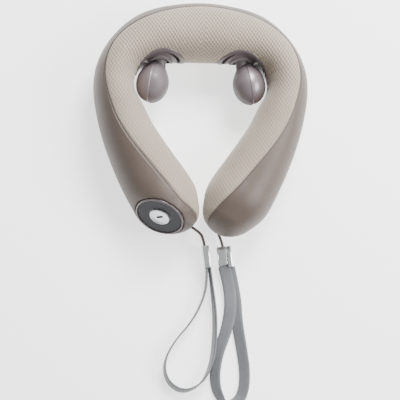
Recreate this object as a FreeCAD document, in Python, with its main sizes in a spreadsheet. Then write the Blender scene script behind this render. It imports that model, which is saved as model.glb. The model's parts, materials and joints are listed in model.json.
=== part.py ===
"""Shiatsu neck massager: a padded U that goes round the neck, with two kneading heads inside it."""

import FreeCAD, Part
import Sketcher
import math
import os
import re

Vector = FreeCAD.Vector
ALIAS = r"[a-z]+(?:_[a-z]+)*"
X_AXIS, Y_AXIS, Z_AXIS = Vector(1, 0, 0), Vector(0, 1, 0), Vector(0, 0, 1)

# The driving dimensions, in millimetres and degrees.
SIZES = {
    # padded body
    "mid_height": 32.0,
    "skin": 1.6,
    "foam": 4.0,
    "shell": 2.0,
    "gap": 0.3,
    # kneading head and its socket
    "head_axis_x": 43.0,
    "bezel_radius": 25.2,
    "bezel_bore": 22.2,
    "bezel_proud": 0.8,
    "bezel_depth": 2.2,
    "cup_wall": 1.2,
    "cup_floor_y": 74.0,
    "floor_thickness": 2.0,
    "dome_radius": 17.8,
    "dome_front_y": 60.5,
    "dome_curve": 25.0,
    "seal_radius": 13.3,
    "seal_bore": 9.8,
    "seal_front_y": 59.5,
    "head_radius": 17.1,
    "head_half_length": 20.8,
    "head_offset": 7.9,
    "head_y": 37.6,
    "head_lean": 11.0,
    "gore_count": 2,
    "gore_angle": 84.0,
    "gore_centre": 47.5,
    "gore_relief": 0.5,
    "gore_depth": 2.0,
    "gore_end_radius": 1.6,
    "neck_radius": 7.2,
    "neck_tip_radius": 5.4,
    # drive
    "wheel_y": 92.0,
    "gear_module": 1.0,
    "wheel_teeth": 22,
    "wheel_face": 3.4,
    "wheel_hub": 6.0,
    "wheel_hub_length": 8.0,
    "wheel_tooth": 1.15,
    "worm_radius": 4.2,
    "worm_thread": 1.25,
    "worm_turns": 4,
    "shaft_radius": 3.0,
    "bush_radius": 5.0,
    "running_play": 0.05,
    "motor_shaft_radius": 1.5,
    "motor_shaft_length": 112.0,
    "motor_radius": 10.0,
    "motor_flats": 15.0,
    "motor_length": 32.0,
    "screw_radius": 1.0,
    # sprung hinge of each arm
    "hinge_x": 92.0,
    "hinge_y": 12.5,
    "hinge_open": 20.0,
    "pin_radius": 2.0,
    "knuckle_radius": 4.4,
    "spring_wire": 0.8,
    "spring_radius": 3.2,
    "spring_pitch": 1.2,
    "spring_turns": 4,
    # control panel on the left arm
    "panel_radius": 26.0,
    "panel_face_radius": 22.4,
    "panel_depth": 13.0,
    "groove": 0.7,
    "button_radius": 10.6,
    "button_travel": 0.8,
    # wrist straps
    "cord_radius": 1.5,
    "strap_width": 13.0,
    "strap_thickness": 1.8,
}

# The right half of the body in plan, from the middle of the back to the tip of the arm:
# outer edge x and y, inner edge x and y, half of the height.
STATIONS = [
    (0.0, 123.8, 0.0, 61.0, 34.0),
    (35.7, 120.0, 18.0, 61.0, 34.0),
    (65.0, 110.4, 35.7, 60.7, 34.0),
    (88.2, 92.0, 52.5, 59.0, 33.6),
    (103.0, 71.5, 64.4, 52.6, 32.8),
    (110.8, 51.0, 69.8, 42.0, 31.8),
    (112.7, 32.0, 69.2, 29.5, 31.2),
    (110.8, 11.7, 61.2, 14.4, 31.0),
    (106.0, -11.4, 53.2, -2.0, 31.2),
    (98.2, -36.6, 41.8, -19.8, 31.8),
    (88.2, -61.8, 28.4, -38.7, 32.6),
    (76.3, -87.0, 14.7, -57.7, 33.4),
    (63.2, -106.8, 5.2, -75.5, 33.0),
    (48.3, -118.2, 2.4, -92.3, 27.5),
    (34.5, -123.0, 4.6, -106.6, 19.0),
    (24.0, -122.6, 10.0, -114.8, 9.5),
]

# Where the knitted inner cover meets the leather, in plan, right half.
SEAM = [
    (0.0, 117.0),
    (30.0, 113.6),
    (54.0, 106.0),
    (75.0, 94.0),
    (89.0, 80.0),
    (98.0, 62.0),
    (101.0, 48.0),
    (98.5, 24.0),
    (89.0, -4.0),
    (68.0, -36.5),
    (52.0, -55.5),
    (34.0, -76.0),
    (16.0, -94.0),
    (8.0, -107.0),
    (10.0, -117.0),
]

PANEL_CENTRE = Vector(-43.7, -104.8, 42.8)
PANEL_NORMAL = Vector(-0.35, -0.80, 0.49).normalize()

# Free cords and wrist straps, each as the corner points of its route.
CORD_LEFT = [(-9.5, -112.0, 22.0), (-0.5, -117.0, 18.5), (4.5, -123.0, 12.0), (6.4, -133.0, 8.0)]
CORD_RIGHT = [(16.5, -108.5, 22.0), (19.5, -117.5, 13.0), (24.0, -124.5, 7.5), (26.0, -133.0, 5.0)]
CLIP_LEFT = (Vector(6.6, -131.0, 0), Vector(9.2, -154.0, 0), 8.0, 16.0)
CLIP_RIGHT = (Vector(26.4, -131.0, 0), Vector(28.9, -153.0, 0), 16.0, 8.0)
STRAP_LEFT = [
    (8.3, -153.0),
    (8.7, -169.0),
    (4.0, -189.0),
    (-8.0, -211.0),
    (-26.0, -231.0),
    (-36.5, -252.0),
    (-33.5, -272.0),
    (-16.5, -283.5),
    (3.0, -275.0),
    (13.5, -254.0),
    (17.0, -228.0),
    (17.0, -200.0),
    (14.0, -175.0),
    (11.2, -153.0),
]
STRAP_RIGHT = [
    (27.0, -152.0),
    (32.5, -172.0),
    (34.0, -196.0),
    (29.0, -220.0),
    (20.0, -243.0),
    (16.5, -267.0),
    (22.0, -288.0),
    (34.0, -295.0),
    (45.0, -285.0),
    (48.5, -262.0),
    (45.0, -236.0),
    (40.5, -210.0),
    (39.0, -182.0),
    (32.0, -152.0),
]

document = FreeCAD.newDocument("neck_massager")
sheet = document.addObject("Spreadsheet::Sheet", "sizes")
for row, (alias, value) in enumerate(SIZES.items(), start=1):
    sheet.set(f"A{row}", alias)
    sheet.set(f"B{row}", str(value))
    sheet.setAlias(f"B{row}", alias)
document.recompute()


def size(alias):
    return float(sheet.get(alias))


def bind(item, name, expression):
    """Ties a property to an expression written with the sheet's aliases."""
    item.setExpression(name, re.sub(ALIAS, lambda found: "sizes." + found.group(0), expression))


def place(item, base, direction=Z_AXIS, turn=0.0):
    """Puts an object's own Z along direction, after a turn about that Z."""
    aim = FreeCAD.Rotation(Z_AXIS, direction)
    item.Placement = FreeCAD.Placement(base, aim.multiply(FreeCAD.Rotation(Z_AXIS, turn)))
    return item


def cylinder(name, radius, length, base, direction=Z_AXIS, turn=0.0, angle="360"):
    item = document.addObject("Part::Cylinder", name)
    bind(item, "Radius", radius)
    bind(item, "Height", length)
    bind(item, "Angle", angle)
    return place(item, base, direction, turn)


def cone(name, radius_base, radius_top, length, base, direction):
    item = document.addObject("Part::Cone", name)
    bind(item, "Radius1", radius_base)
    bind(item, "Radius2", radius_top)
    bind(item, "Height", length)
    return place(item, base, direction)


def block(name, low, high):
    """A box between two corners."""
    item = document.addObject("Part::Box", name)
    item.Length, item.Width, item.Height = (Vector(*high) - Vector(*low))
    item.Placement.Base = Vector(*low)
    return item


def ellipsoid(name, trim, centre, direction):
    item = document.addObject("Part::Ellipsoid", name)
    bind(item, "Radius1", f"head_half_length - {trim}")
    bind(item, "Radius2", f"head_radius - {trim}")
    bind(item, "Radius3", f"head_radius - {trim}")
    item.Angle1, item.Angle2, item.Angle3 = -90, 90, 360
    return place(item, centre, direction)


def cut(name, base, *tools):
    item = document.addObject("Part::Cut", name)
    item.Refine = False
    item.Base = base
    item.Tool = tools[0] if len(tools) == 1 else group(name + "_tools", tools)
    return item


def common(name, first, second):
    item = document.addObject("Part::Common", name)
    item.Refine = False
    item.Base, item.Tool = first, second
    return item


def fuse(name, *parts):
    item = document.addObject("Part::MultiFuse", name)
    item.Refine = False
    item.Shapes = list(parts)
    return item


def group(name, parts):
    item = document.addObject("Part::Compound", name)
    item.Links = list(parts)
    return item


def mirror(name, source):
    item = document.addObject("Part::Mirroring", name)
    item.Source, item.Base, item.Normal = source, Vector(0, 0, 0), X_AXIS
    return item


def solid(name, shape):
    item = document.addObject("Part::Feature", name)
    item.Shape = shape
    return item


nodes = {}


def node(name, item):
    """Names a finished sub-part."""
    item.Label = name
    nodes[name] = item
    return item


def both_sides(name, right):
    """A sub-part of the right side and its mirror image on the left."""
    node(name + "_right", right)
    node(name + "_left", mirror(name + "_left", right))


# ---------------------------------------------------------------- sketched bodies


def origin_plane(body, role):
    return next(plane for plane in body.Origin.OriginFeatures if plane.Role == role)


def outline_sketch(body, name, plane, corners):
    """A closed outline whose corners, pairs of expressions, are dimensioned from the origin."""
    sketch = body.newObject("Sketcher::SketchObject", name)
    sketch.AttachmentSupport = [(origin_plane(body, plane), "")]
    sketch.MapMode = "FlatFace"
    points = [Vector(number(x), number(y), 0) for x, y in corners]
    for start, end in zip(points, points[1:] + points[:1]):
        sketch.addGeometry(Part.LineSegment(start, end))
    count = len(points)
    for index, (x, y) in enumerate(corners):
        sketch.addConstraint(Sketcher.Constraint("Coincident", index, 2, (index + 1) % count, 1))
        for kind, expression in (("DistanceX", x), ("DistanceY", y)):
            value = number(expression)
            added = sketch.addConstraint(Sketcher.Constraint(kind, -1, 1, index, 1, value))
            if re.search(ALIAS, expression):
                bind(sketch, f"Constraints[{added}]", expression)
    return sketch


def number(expression):
    """The value of an expression with the sheet's aliases: a sum of numbers, products and quotients."""
    text = re.sub(ALIAS, lambda found: str(size(found.group(0))), expression)
    result = 0.0
    for sign, term in re.findall(r"([+-]?)\s*([0-9.]+(?:\s*[*/]\s*[0-9.]+)*)", text):
        value = 1.0
        for operation, factor in re.findall(r"([*/]?)\s*([0-9.]+)", term):
            value = value / float(factor) if operation == "/" else value * float(factor)
        result += -value if sign == "-" else value
    return result


def turned(name, corners, base, direction):
    """A body turned about its own Z from an outline of radius and height."""
    body = document.addObject("PartDesign::Body", name)
    sketch = outline_sketch(body, name + "_outline", "XZ_Plane", corners)
    turn = body.newObject("PartDesign::Revolution", name + "_turn")
    turn.Profile = sketch
    turn.ReferenceAxis = (sketch, ["V_Axis"])
    turn.Angle = 360
    return place(body, base, direction)


# ---------------------------------------------------------------- the padded body

MID, SKIN, FOAM, SHELL = size("mid_height"), size("skin"), size("foam"), size("shell")
INNER_SKIN, INNER_FOAM, INNER_SHELL = SKIN, SKIN + FOAM, SKIN + FOAM + SHELL
HINGE = Vector(size("hinge_x"), size("hinge_y"), 0)
FAR = 200.0


def section(station, side, inset):
    """The tube's oval outline at a station, smaller by inset all round."""
    outer_x, outer_y, inner_x, inner_y, half_height = station
    outer, inner = Vector(side * outer_x, outer_y, MID), Vector(side * inner_x, inner_y, MID)
    centre, across = (outer + inner) / 2, (outer - inner).normalize()
    half_width = (outer - inner).Length / 2 - inset
    angles = [math.radians(22.5 * step) for step in range(16)]
    points = [
        centre + across * half_width * math.cos(a) + Z_AXIS * (half_height - inset) * math.sin(a)
        for a in angles
    ]
    return points + points[:1]


def tube(name, inset, dropped):
    """The whole U as one smooth closed tube, inset from the outer skin and shorter by some end stations."""
    kept = STATIONS[: len(STATIONS) - dropped]
    left = [section(station, -1, inset) for station in reversed(kept[1:])]
    right = [section(station, 1, inset) for station in kept]
    surface = Part.BSplineSurface()
    surface.interpolate(left + right)
    side = surface.toShape()
    ends = [Part.Face(Part.Wire([edge])) for edge in side.Edges if edge.isClosed()]
    shell = Part.makeShell([side] + ends)
    shell.sewShape()
    return solid(name, Part.makeSolid(shell))


def plan_prism(name, points, low=-20.0, high=90.0):
    """A straight-sided prism over a closed outline in plan."""
    corners = [Vector(x, y, low) for x, y in points]
    face = Part.Face(Part.makePolygon(corners + corners[:1]))
    return solid(name, face.extrude(Vector(0, 0, high - low)))


def knit_prism():
    """Everything inside the seam line, where the cover is knitted fabric."""
    left = [Vector(-x, y, -20) for x, y in reversed(SEAM[1:])]
    right = [Vector(x, y, -20) for x, y in SEAM]
    curve = Part.BSplineCurve()
    curve.interpolate(left + right)
    closing = Part.LineSegment(right[-1], left[0])
    face = Part.Face(Part.Wire([curve.toShape(), closing.toShape()]))
    return solid("knit_zone", face.extrude(Vector(0, 0, 110)))


def arm_prism(name, side):
    """The arm's side of the hinge: the cut opens like a V outside the hinge pin."""
    half_gap = size("gap") / 2
    slope = math.tan(math.radians(size("hinge_open") + 0.5))
    top = HINGE.y - half_gap
    outline = [
        (0, top),
        (HINGE.x, top),
        (FAR, top - slope * (FAR - HINGE.x)),
        (FAR, -FAR),
        (0, -FAR),
    ]
    return plan_prism(name, [(side * x, y) for x, y in outline])


under_floor = block("under_floor", (-FAR, -FAR, -20), (FAR, FAR, 0))
outer = cut("body_outer", tube("tube_outer", 0.0, 0), under_floor)
lining = cut(
    "body_lining",
    tube("tube_lining", INNER_SKIN, 1),
    block("under_lining", (-FAR, -FAR, -20), (FAR, FAR, SKIN)),
)
padding = tube("tube_padding", INNER_FOAM, 2)
cavity = tube("tube_cavity", INNER_SHELL, 3)
knit_zone = knit_prism()
rear_zone = block("rear_zone", (-FAR, HINGE.y + size("gap") / 2, -20), (FAR, FAR, 90))
arm_zone = {"right": arm_prism("arm_zone_right", 1), "left": arm_prism("arm_zone_left", -1)}

# ---------------------------------------------------------------- sockets of the two heads

AXIS_X, WHEEL_Y = size("head_axis_x"), size("wheel_y")


def on_axis(y):
    """A point on the right head's axis."""
    return Vector(AXIS_X, y, MID)


def socket_hole(name, radius, back):
    """A cylinder on the head's axis, from back to just in front of the body's inner face."""
    return cylinder(name, radius, str(back - 38.0), on_axis(back), -Y_AXIS)


def bezel():
    proud = tube("tube_proud", -size("bezel_proud"), 1)
    recess = tube("tube_recess", size("bezel_depth"), 1)
    rim, hole = socket_hole("bezel_rim", "bezel_radius", 90), socket_hole("bezel_hole", "bezel_bore", 91)
    ring = cut("bezel_ring", rim, hole)
    return common("bezel_right", ring, cut("bezel_band", proud, recess))


def socket():
    """A cup that lines the hole, with the convex dome that the head's neck comes out of."""
    floor_y = size("cup_floor_y")
    floor_back = floor_y + size("floor_thickness")
    wall = cut(
        "cup_wall",
        socket_hole("cup_outside", "bezel_bore", floor_back),
        socket_hole("cup_inside", "bezel_bore - cup_wall", floor_y),
    )
    in_body = common("cup_in_body", wall, tube("tube_cup", 0.6, 1))
    dome = common(
        "dome_front",
        socket_hole("dome_side", "dome_radius", floor_y),
        rounded_front("dome_curve", "dome_curve", size("dome_front_y")),
    )
    throat = socket_hole("socket_throat", "seal_bore + 0.4", floor_back + 1)
    seat = socket_hole("seal_seat", "seal_radius", 64.5)
    return cut("socket_right", fuse("socket_solid", in_body, dome), throat, seat)


def rounded_front(name, radius, front_y):
    """A level cylinder that gives a socket piece its rounded front."""
    base = Vector(AXIS_X - 40, front_y + size(radius), MID)
    return cylinder(name + "_roll", radius, "80", base, X_AXIS)


def neck_seal():
    ring = cut(
        "seal_ring",
        socket_hole("seal_side", "seal_radius", 64.5),
        socket_hole("seal_hole", "seal_bore", 65),
    )
    return common("neck_seal_right", ring, rounded_front("seal", "dome_curve", size("seal_front_y")))


both_sides("bezel", bezel())
both_sides("socket", socket())
both_sides("neck_seal", neck_seal())

# ---------------------------------------------------------------- kneading heads

LEAN = math.radians(size("head_lean"))
HEAD_CENTRE = Vector(AXIS_X + size("head_offset"), size("head_y"), MID)
HEAD_AXIS = Vector(-math.sin(LEAN), math.cos(LEAN), 0)


def gores():
    """Glossy inserts that stand a little proud of the head."""
    rind = cut(
        "gore_rind",
        ellipsoid("gore_outside", "0", HEAD_CENTRE, HEAD_AXIS),
        ellipsoid("gore_inside", "gore_depth", HEAD_CENTRE, HEAD_AXIS),
        cylinder("gore_ends", "gore_end_radius", "60", HEAD_CENTRE - HEAD_AXIS * 30, HEAD_AXIS),
        neck_solid("gore_neck_room", "1.2"),
    )
    wedges = []
    first_turn = size("gore_centre") + size("head_lean") - 90 - size("gore_angle") / 2
    for index in range(round(size("gore_count"))):
        turn = first_turn + 360 * index / size("gore_count")
        base = HEAD_CENTRE - HEAD_AXIS * 30
        wedge = cylinder(f"gore_wedge_{index}", "30", "60", base, HEAD_AXIS, turn, "gore_angle")
        wedges.append(common(f"gore_{index}", rind, wedge))
    return group("head_gores_right", wedges)


def neck_solid(name, extra):
    """The tapered stub between the output shaft and the head."""
    base = on_axis(66.0)
    return cone(name, f"neck_radius + {extra}", f"neck_tip_radius + {extra}", "14", base, -Y_AXIS)


def head_core(inserts):
    egg = ellipsoid("head_egg", "gore_relief", HEAD_CENTRE, HEAD_AXIS)
    stub = fuse("head_stub", egg, neck_solid("head_neck", "0"))
    bore = cylinder("head_bore", "shaft_radius", "12", on_axis(66.0), -Y_AXIS)
    return cut("head_core_right", stub, inserts, bore)


inserts = gores()
both_sides("head_gores", inserts)
both_sides("head_core", head_core(inserts))
both_sides(
    "output_shaft",
    turned(
        "output_shaft_right",
        [
            ("0", "0"),
            ("shaft_radius", "0"),
            ("shaft_radius", "32"),
            ("shaft_radius + 1.2", "32"),
            ("shaft_radius + 1.2", "33"),
            ("shaft_radius", "33"),
            ("shaft_radius", "50"),
            ("0", "50"),
        ],
        on_axis(54.0),
        Y_AXIS,
    ),
)

# ---------------------------------------------------------------- drive

WORM_DROP = size("gear_module") * size("wheel_teeth") / 2 + size("worm_radius")
WORM_Z = MID - WORM_DROP
PITCH = math.pi * size("gear_module")
WHEEL_RADIUS = size("gear_module") * size("wheel_teeth") / 2


def worm_wheel():
    """A toothed wheel with a gap between two teeth facing straight down, where the worm is."""
    body = document.addObject("PartDesign::Body", "worm_wheel_right")
    root = f"{WHEEL_RADIUS} - 1.2 * gear_module"
    blank = outline_sketch(
        body,
        "wheel_blank",
        "XZ_Plane",
        [
            ("shaft_radius", "0 - wheel_hub_length / 2"),
            ("wheel_hub", "0 - wheel_hub_length / 2"),
            ("wheel_hub", "0 - wheel_face / 2"),
            (root, "0 - wheel_face / 2"),
            (root, "wheel_face / 2"),
            ("wheel_hub", "wheel_face / 2"),
            ("wheel_hub", "wheel_hub_length / 2"),
            ("shaft_radius", "wheel_hub_length / 2"),
        ],
    )
    turn = body.newObject("PartDesign::Revolution", "wheel_turn")
    turn.Profile, turn.ReferenceAxis, turn.Angle = blank, (blank, ["V_Axis"]), 360
    tooth_sketch = outline_sketch(
        body,
        "wheel_tooth_outline",
        "XY_Plane",
        [
            (f"{WHEEL_RADIUS} - 1.5 * gear_module", "0 - wheel_tooth / 2 - 0.42 * gear_module"),
            (f"{WHEEL_RADIUS} + 0.85 * gear_module", "0 - wheel_tooth / 2 + 0.3 * gear_module"),
            (f"{WHEEL_RADIUS} + 0.85 * gear_module", "wheel_tooth / 2 - 0.3 * gear_module"),
            (f"{WHEEL_RADIUS} - 1.5 * gear_module", "wheel_tooth / 2 + 0.42 * gear_module"),
        ],
    )
    tooth = body.newObject("PartDesign::Pad", "wheel_tooth_pad")
    tooth.Profile = tooth_sketch
    bind(tooth, "Length", "wheel_face")
    tooth.SideType = "Symmetric"
    document.recompute()
    ring = body.newObject("PartDesign::PolarPattern", "wheel_teeth_ring")
    ring.Originals = [tooth]
    ring.Axis = (tooth_sketch, ["N_Axis"])
    ring.Angle = 360
    bind(ring, "Occurrences", "wheel_teeth")
    body.Tip = ring
    return place(body, on_axis(WHEEL_Y), Y_AXIS)


def worm():
    """A right-handed screw whose thread crests face the wheel at whole pitches from its middle."""
    body = document.addObject("PartDesign::Body", "worm_right")
    core = "worm_radius - 1.2 * gear_module"
    core_sketch = outline_sketch(
        body,
        "worm_core",
        "XZ_Plane",
        [
            ("motor_shaft_radius", "0 - 7.5"),
            (core, "0 - 7.5"),
            (core, "7.5"),
            ("motor_shaft_radius", "7.5"),
        ],
    )
    turn = body.newObject("PartDesign::Revolution", "worm_turn")
    turn.Profile, turn.ReferenceAxis, turn.Angle = core_sketch, (core_sketch, ["V_Axis"]), 360
    start = f"0 - {PITCH:.4f} * 2"
    thread_sketch = outline_sketch(
        body,
        "worm_thread_outline",
        "XZ_Plane",
        [
            ("worm_radius - 1.5 * gear_module", f"{start} - worm_thread / 2 - 0.4 * gear_module"),
            ("worm_radius + 0.85 * gear_module", f"{start} - worm_thread / 2 + 0.3 * gear_module"),
            ("worm_radius + 0.85 * gear_module", f"{start} + worm_thread / 2 - 0.3 * gear_module"),
            ("worm_radius - 1.5 * gear_module", f"{start} + worm_thread / 2 + 0.4 * gear_module"),
        ],
    )
    document.recompute()
    thread = body.newObject("PartDesign::AdditiveHelix", "worm_thread")
    thread.Profile = thread_sketch
    thread.ReferenceAxis = (thread_sketch, ["V_Axis"])
    thread.Mode = 1
    thread.Pitch = PITCH
    bind(thread, "Turns", "worm_turns")
    body.Tip = thread
    body.Placement = FreeCAD.Placement(
        Vector(AXIS_X, WHEEL_Y, WORM_Z), FreeCAD.Rotation(Z_AXIS, -Y_AXIS, X_AXIS, "XYZ")
    )
    return body


both_sides("worm_wheel", worm_wheel())
right_worm = worm()
node("worms", group("worms", [right_worm, mirror("worm_left", right_worm)]))


def level_rod(name, radius, length):
    """A rod along the worms' axis, centred on the body."""
    half = number(length) / 2
    return cylinder(name, radius, length, Vector(-half, WHEEL_Y, WORM_Z), X_AXIS)


node("motor_shaft", level_rod("motor_shaft", "motor_shaft_radius", "motor_shaft_length"))


def motor_can(name, extra):
    """A round can with flats above and below."""
    half_length = size("motor_length") / 2 + extra
    half_flats = size("motor_flats") / 2 + extra
    can = level_rod(name + "_round", f"motor_radius + {extra}", f"motor_length + {2 * extra}")
    slab = block(
        name + "_flats",
        (-half_length - 1, WHEEL_Y - 20, WORM_Z - half_flats),
        (half_length + 1, WHEEL_Y + 20, WORM_Z + half_flats),
    )
    return common(name, can, slab)


node(
    "drive_motor",
    cut(
        "drive_motor",
        fuse(
            "motor_body",
            motor_can("motor_can", 0.0),
            level_rod("motor_bosses", "3.5", "motor_length + 4"),
        ),
        level_rod("motor_bore", "motor_shaft_radius + running_play", "motor_length + 10"),
    ),
)
mount_block = common(
    "mount_block",
    block("mount_box", (-12, WHEEL_Y - 15, 4), (12, WHEEL_Y + 15, WORM_Z)),
    cavity,
)
node("motor_mount", cut("motor_mount", mount_block, motor_can("motor_room", 0.0)))

GEARBOX_LOW, GEARBOX_HIGH = (26.0, 78.0, 8.4), (60.0, 106.0, 48.0)
GEARBOX_ROOM = ((29.2, 84.0, 11.0), (56.8, 98.0, 45.0))
SCREW_PLACES = [(27.6, 42.0), (58.4, 42.0), (27.6, 16.8 + 7.0), (58.4, 16.8 + 7.0)]


def gearbox_screws(name):
    """Four screws that hold the halves of the right gearbox together."""
    screws = []
    for index, (x, z) in enumerate(SCREW_PLACES):
        shank = cylinder(f"{name}_shank_{index}", "screw_radius", "20", Vector(x, 79.2, z), Y_AXIS)
        head = cylinder(f"{name}_head_{index}", "screw_radius * 1.6", "1.2", Vector(x, 78.0, z), Y_AXIS)
        screws.append(fuse(f"{name}_{index}", shank, head))
    return group(name, screws)


def bushes():
    """Plain bushes: two for the output shaft, one for the end of the motor shaft."""
    made = []
    for index, y in enumerate((78.0, 98.5)):
        tube_outside = cylinder(f"bush_outside_{index}", "bush_radius", "5", on_axis(y), Y_AXIS)
        bore = cylinder(f"bush_bore_{index}", "shaft_radius + running_play", "5", on_axis(y), Y_AXIS)
        made.append(cut(f"bush_{index}", tube_outside, bore))
    end = Vector(57.0, WHEEL_Y, WORM_Z)
    end_base = end - X_AXIS * 3.0
    end_outside = cylinder("end_bush_outside", "motor_shaft_radius + 1.5", "2.6", end_base, X_AXIS)
    end_bore = cylinder("end_bush_bore", "motor_shaft_radius + running_play", "2.6", end_base, X_AXIS)
    made.append(cut("end_bush", end_outside, end_bore))
    return made


def gearbox(bush_solids, screws):
    """The clamshell round the wheel and worm, split where their axes lie."""
    body = common("gearbox_block", block("gearbox_box", GEARBOX_LOW, GEARBOX_HIGH), cavity)
    room = block("gearbox_room", *GEARBOX_ROOM)
    worm_entry = Vector(20.0, WHEEL_Y, WORM_Z)
    pillow = block("end_pillow", (53.8, WHEEL_Y - 5, 11.0), (56.8, WHEEL_Y + 5, WORM_Z + 5))
    inside = cut("gearbox_inside", room, pillow)
    shaft_way = cylinder("gearbox_shaft_way", "bush_radius", "44", on_axis(60), Y_AXIS)
    worm_way = cylinder("gearbox_worm_way", "motor_shaft_radius + 1.5", "36.6", worm_entry, X_AXIS)
    bush_rooms = group("bush_rooms", bush_solids)
    hollow = cut("gearbox_hollow", body, inside, shaft_way, worm_way, screws, bush_rooms)
    front_zone = block("gearbox_front_zone", (0, 60, 0), (80, WHEEL_Y, 70))
    rear_zone_box = block("gearbox_rear_zone", (0, WHEEL_Y, 0), (80, 130, 70))
    front = common("gearbox_front_right", hollow, front_zone)
    return front, common("gearbox_rear_right", hollow, rear_zone_box)


bush_solids = bushes()
right_screws = gearbox_screws("right_screws")
front_half, rear_half = gearbox(bush_solids, right_screws)
both_sides("gearbox_front", front_half)
both_sides("gearbox_rear", rear_half)
node("gearbox_screws", group("gearbox_screws", [right_screws, mirror("left_screws", right_screws)]))
right_bushes = group("right_bushes", bush_solids)
node("shaft_bushes", group("shaft_bushes", [right_bushes, mirror("left_bushes", right_bushes)]))


# ---------------------------------------------------------------- covers, foam and rigid shells


def pair(name, right):
    """A right-hand tool and its mirror image, to cut both sides alike."""
    return group(name, [right, mirror(name + "_left", right)])


skin_all = cut("skin_all", outer, lining)
knit_skin = common("knit_skin", skin_all, knit_zone)
hide_skin = cut("hide_skin", skin_all, knit_zone)
foam_all = cut("foam_all", lining, padding)
shell_all = cut("shell_all", padding, cavity)
bezel_holes = pair("bezel_holes", socket_hole("bezel_opening", "bezel_radius", 90))
socket_holes = pair("socket_holes", socket_hole("socket_opening", "bezel_bore", 77))
bezels = pair("bezel_rooms", nodes["bezel_right"])

heater_band = cut("heater_band", lining, tube("tube_heater", INNER_SKIN + 0.6, 1))
heater = common("heater_film", heater_band, block("heater_zone", (-14, 40, 14), (14, 80, 50)))
node("heater_film", heater)

node("leather_rear", common("leather_rear", hide_skin, rear_zone))
node("mesh_rear", cut("mesh_rear", common("mesh_rear_whole", knit_skin, rear_zone), bezel_holes))
foam_rear = common("foam_rear_whole", foam_all, rear_zone)
node("foam_rear", cut("foam_rear", foam_rear, socket_holes, bezels, heater))

# ---------------------------------------------------------------- sprung hinges inside the shoulders

REAR_KNUCKLES = [(15.0, 24.0), (40.0, 49.0)]
ARM_KNUCKLE = (30.2, 39.7)
SPRING_LOW = 24.6


def at_hinge(z):
    return Vector(HINGE.x, HINGE.y, z)


def hinge_round(name, radius, low, high):
    return cylinder(name, radius, str(high - low), at_hinge(low))


def knuckle(name, low, high, forward, zone):
    """A barrel round the pin with a web that joins it to the shell."""
    reach = (HINGE.y, HINGE.y + 14) if forward else (HINGE.y - 14, HINGE.y)
    web_box = block(name + "_web", (HINGE.x - 4.4, reach[0], low), (HINGE.x + 14, reach[1], high))
    web = common(name + "_web_in_zone", web_box, zone)
    barrel = hinge_round(name + "_barrel", "knuckle_radius", low, high)
    return common(name, fuse(name + "_whole", web, barrel), padding)


def clear_of_pin(name, low, high):
    return hinge_round(name, "knuckle_radius + gap", low, high)


def torsion_spring():
    """A coil round the pin whose two legs press the arm back towards the neck."""
    body = document.addObject("PartDesign::Body", "hinge_spring_coil")
    corners = [
        ("spring_radius + 0.5 * spring_wire", "0"),
        ("spring_radius + 0.25 * spring_wire", "0.43 * spring_wire"),
        ("spring_radius - 0.25 * spring_wire", "0.43 * spring_wire"),
        ("spring_radius - 0.5 * spring_wire", "0"),
        ("spring_radius - 0.25 * spring_wire", "0 - 0.43 * spring_wire"),
        ("spring_radius + 0.25 * spring_wire", "0 - 0.43 * spring_wire"),
    ]
    section_sketch = outline_sketch(body, "spring_section", "XZ_Plane", corners)
    document.recompute()
    coil = body.newObject("PartDesign::AdditiveHelix", "spring_coil")
    coil.Profile = section_sketch
    coil.ReferenceAxis = (section_sketch, ["V_Axis"])
    coil.Mode = 1
    bind(coil, "Pitch", "spring_pitch")
    bind(coil, "Turns", "spring_turns")
    body.Tip = coil
    body.Placement.Base = at_hinge(SPRING_LOW)
    low = at_hinge(SPRING_LOW) + X_AXIS * size("spring_radius")
    high = low + Z_AXIS * size("spring_pitch") * size("spring_turns")
    arm_leg = cylinder("spring_arm_leg", "spring_wire / 2", "6", low, -Y_AXIS)
    rear_leg = cylinder("spring_rear_leg", "spring_wire / 2", "6", high, Y_AXIS)
    return group("hinge_spring_right", [body, arm_leg, rear_leg])


rear_knuckles = [
    knuckle(f"rear_knuckle_{index}", low, high, True, rear_zone)
    for index, (low, high) in enumerate(REAR_KNUCKLES)
]
arm_knuckle_room = clear_of_pin("arm_knuckle_room", REAR_KNUCKLES[0][1], REAR_KNUCKLES[1][0])
pin_bore = hinge_round("pin_bore", "pin_radius", 0, 64)
running_bore = hinge_round("running_bore", "pin_radius + running_play", 0, 64)
shell_rear = cut(
    "shell_rear",
    fuse(
        "shell_rear_whole",
        cut(
            "shell_rear_plain",
            common("shell_rear_ring", shell_all, rear_zone),
            pair("knuckle_rooms", arm_knuckle_room),
        ),
        *rear_knuckles,
        *[mirror(f"rear_knuckle_left_{index}", item) for index, item in enumerate(rear_knuckles)],
    ),
    socket_holes,
    pair("pin_bores", pin_bore),
)
upper_half = block("upper_half", (-FAR, -FAR, MID), (FAR, FAR, 90))
node("shell_rear_upper", common("shell_rear_upper", shell_rear, upper_half))
node("shell_rear_lower", cut("shell_rear_lower", shell_rear, upper_half))
both_sides("hinge_pin", hinge_round("hinge_pin_right", "pin_radius", 14.5, 49.5))
both_sides("hinge_spring", torsion_spring())

# ---------------------------------------------------------------- control panel of the left arm


def panel_point(height):
    return PANEL_CENTRE + PANEL_NORMAL * height


def panel_hole(name, radius, low, high):
    return cylinder(name, radius, str(high - low), panel_point(low), PANEL_NORMAL)


def panel_turned(name, corners):
    return turned(name, corners, PANEL_CENTRE, PANEL_NORMAL)


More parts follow.
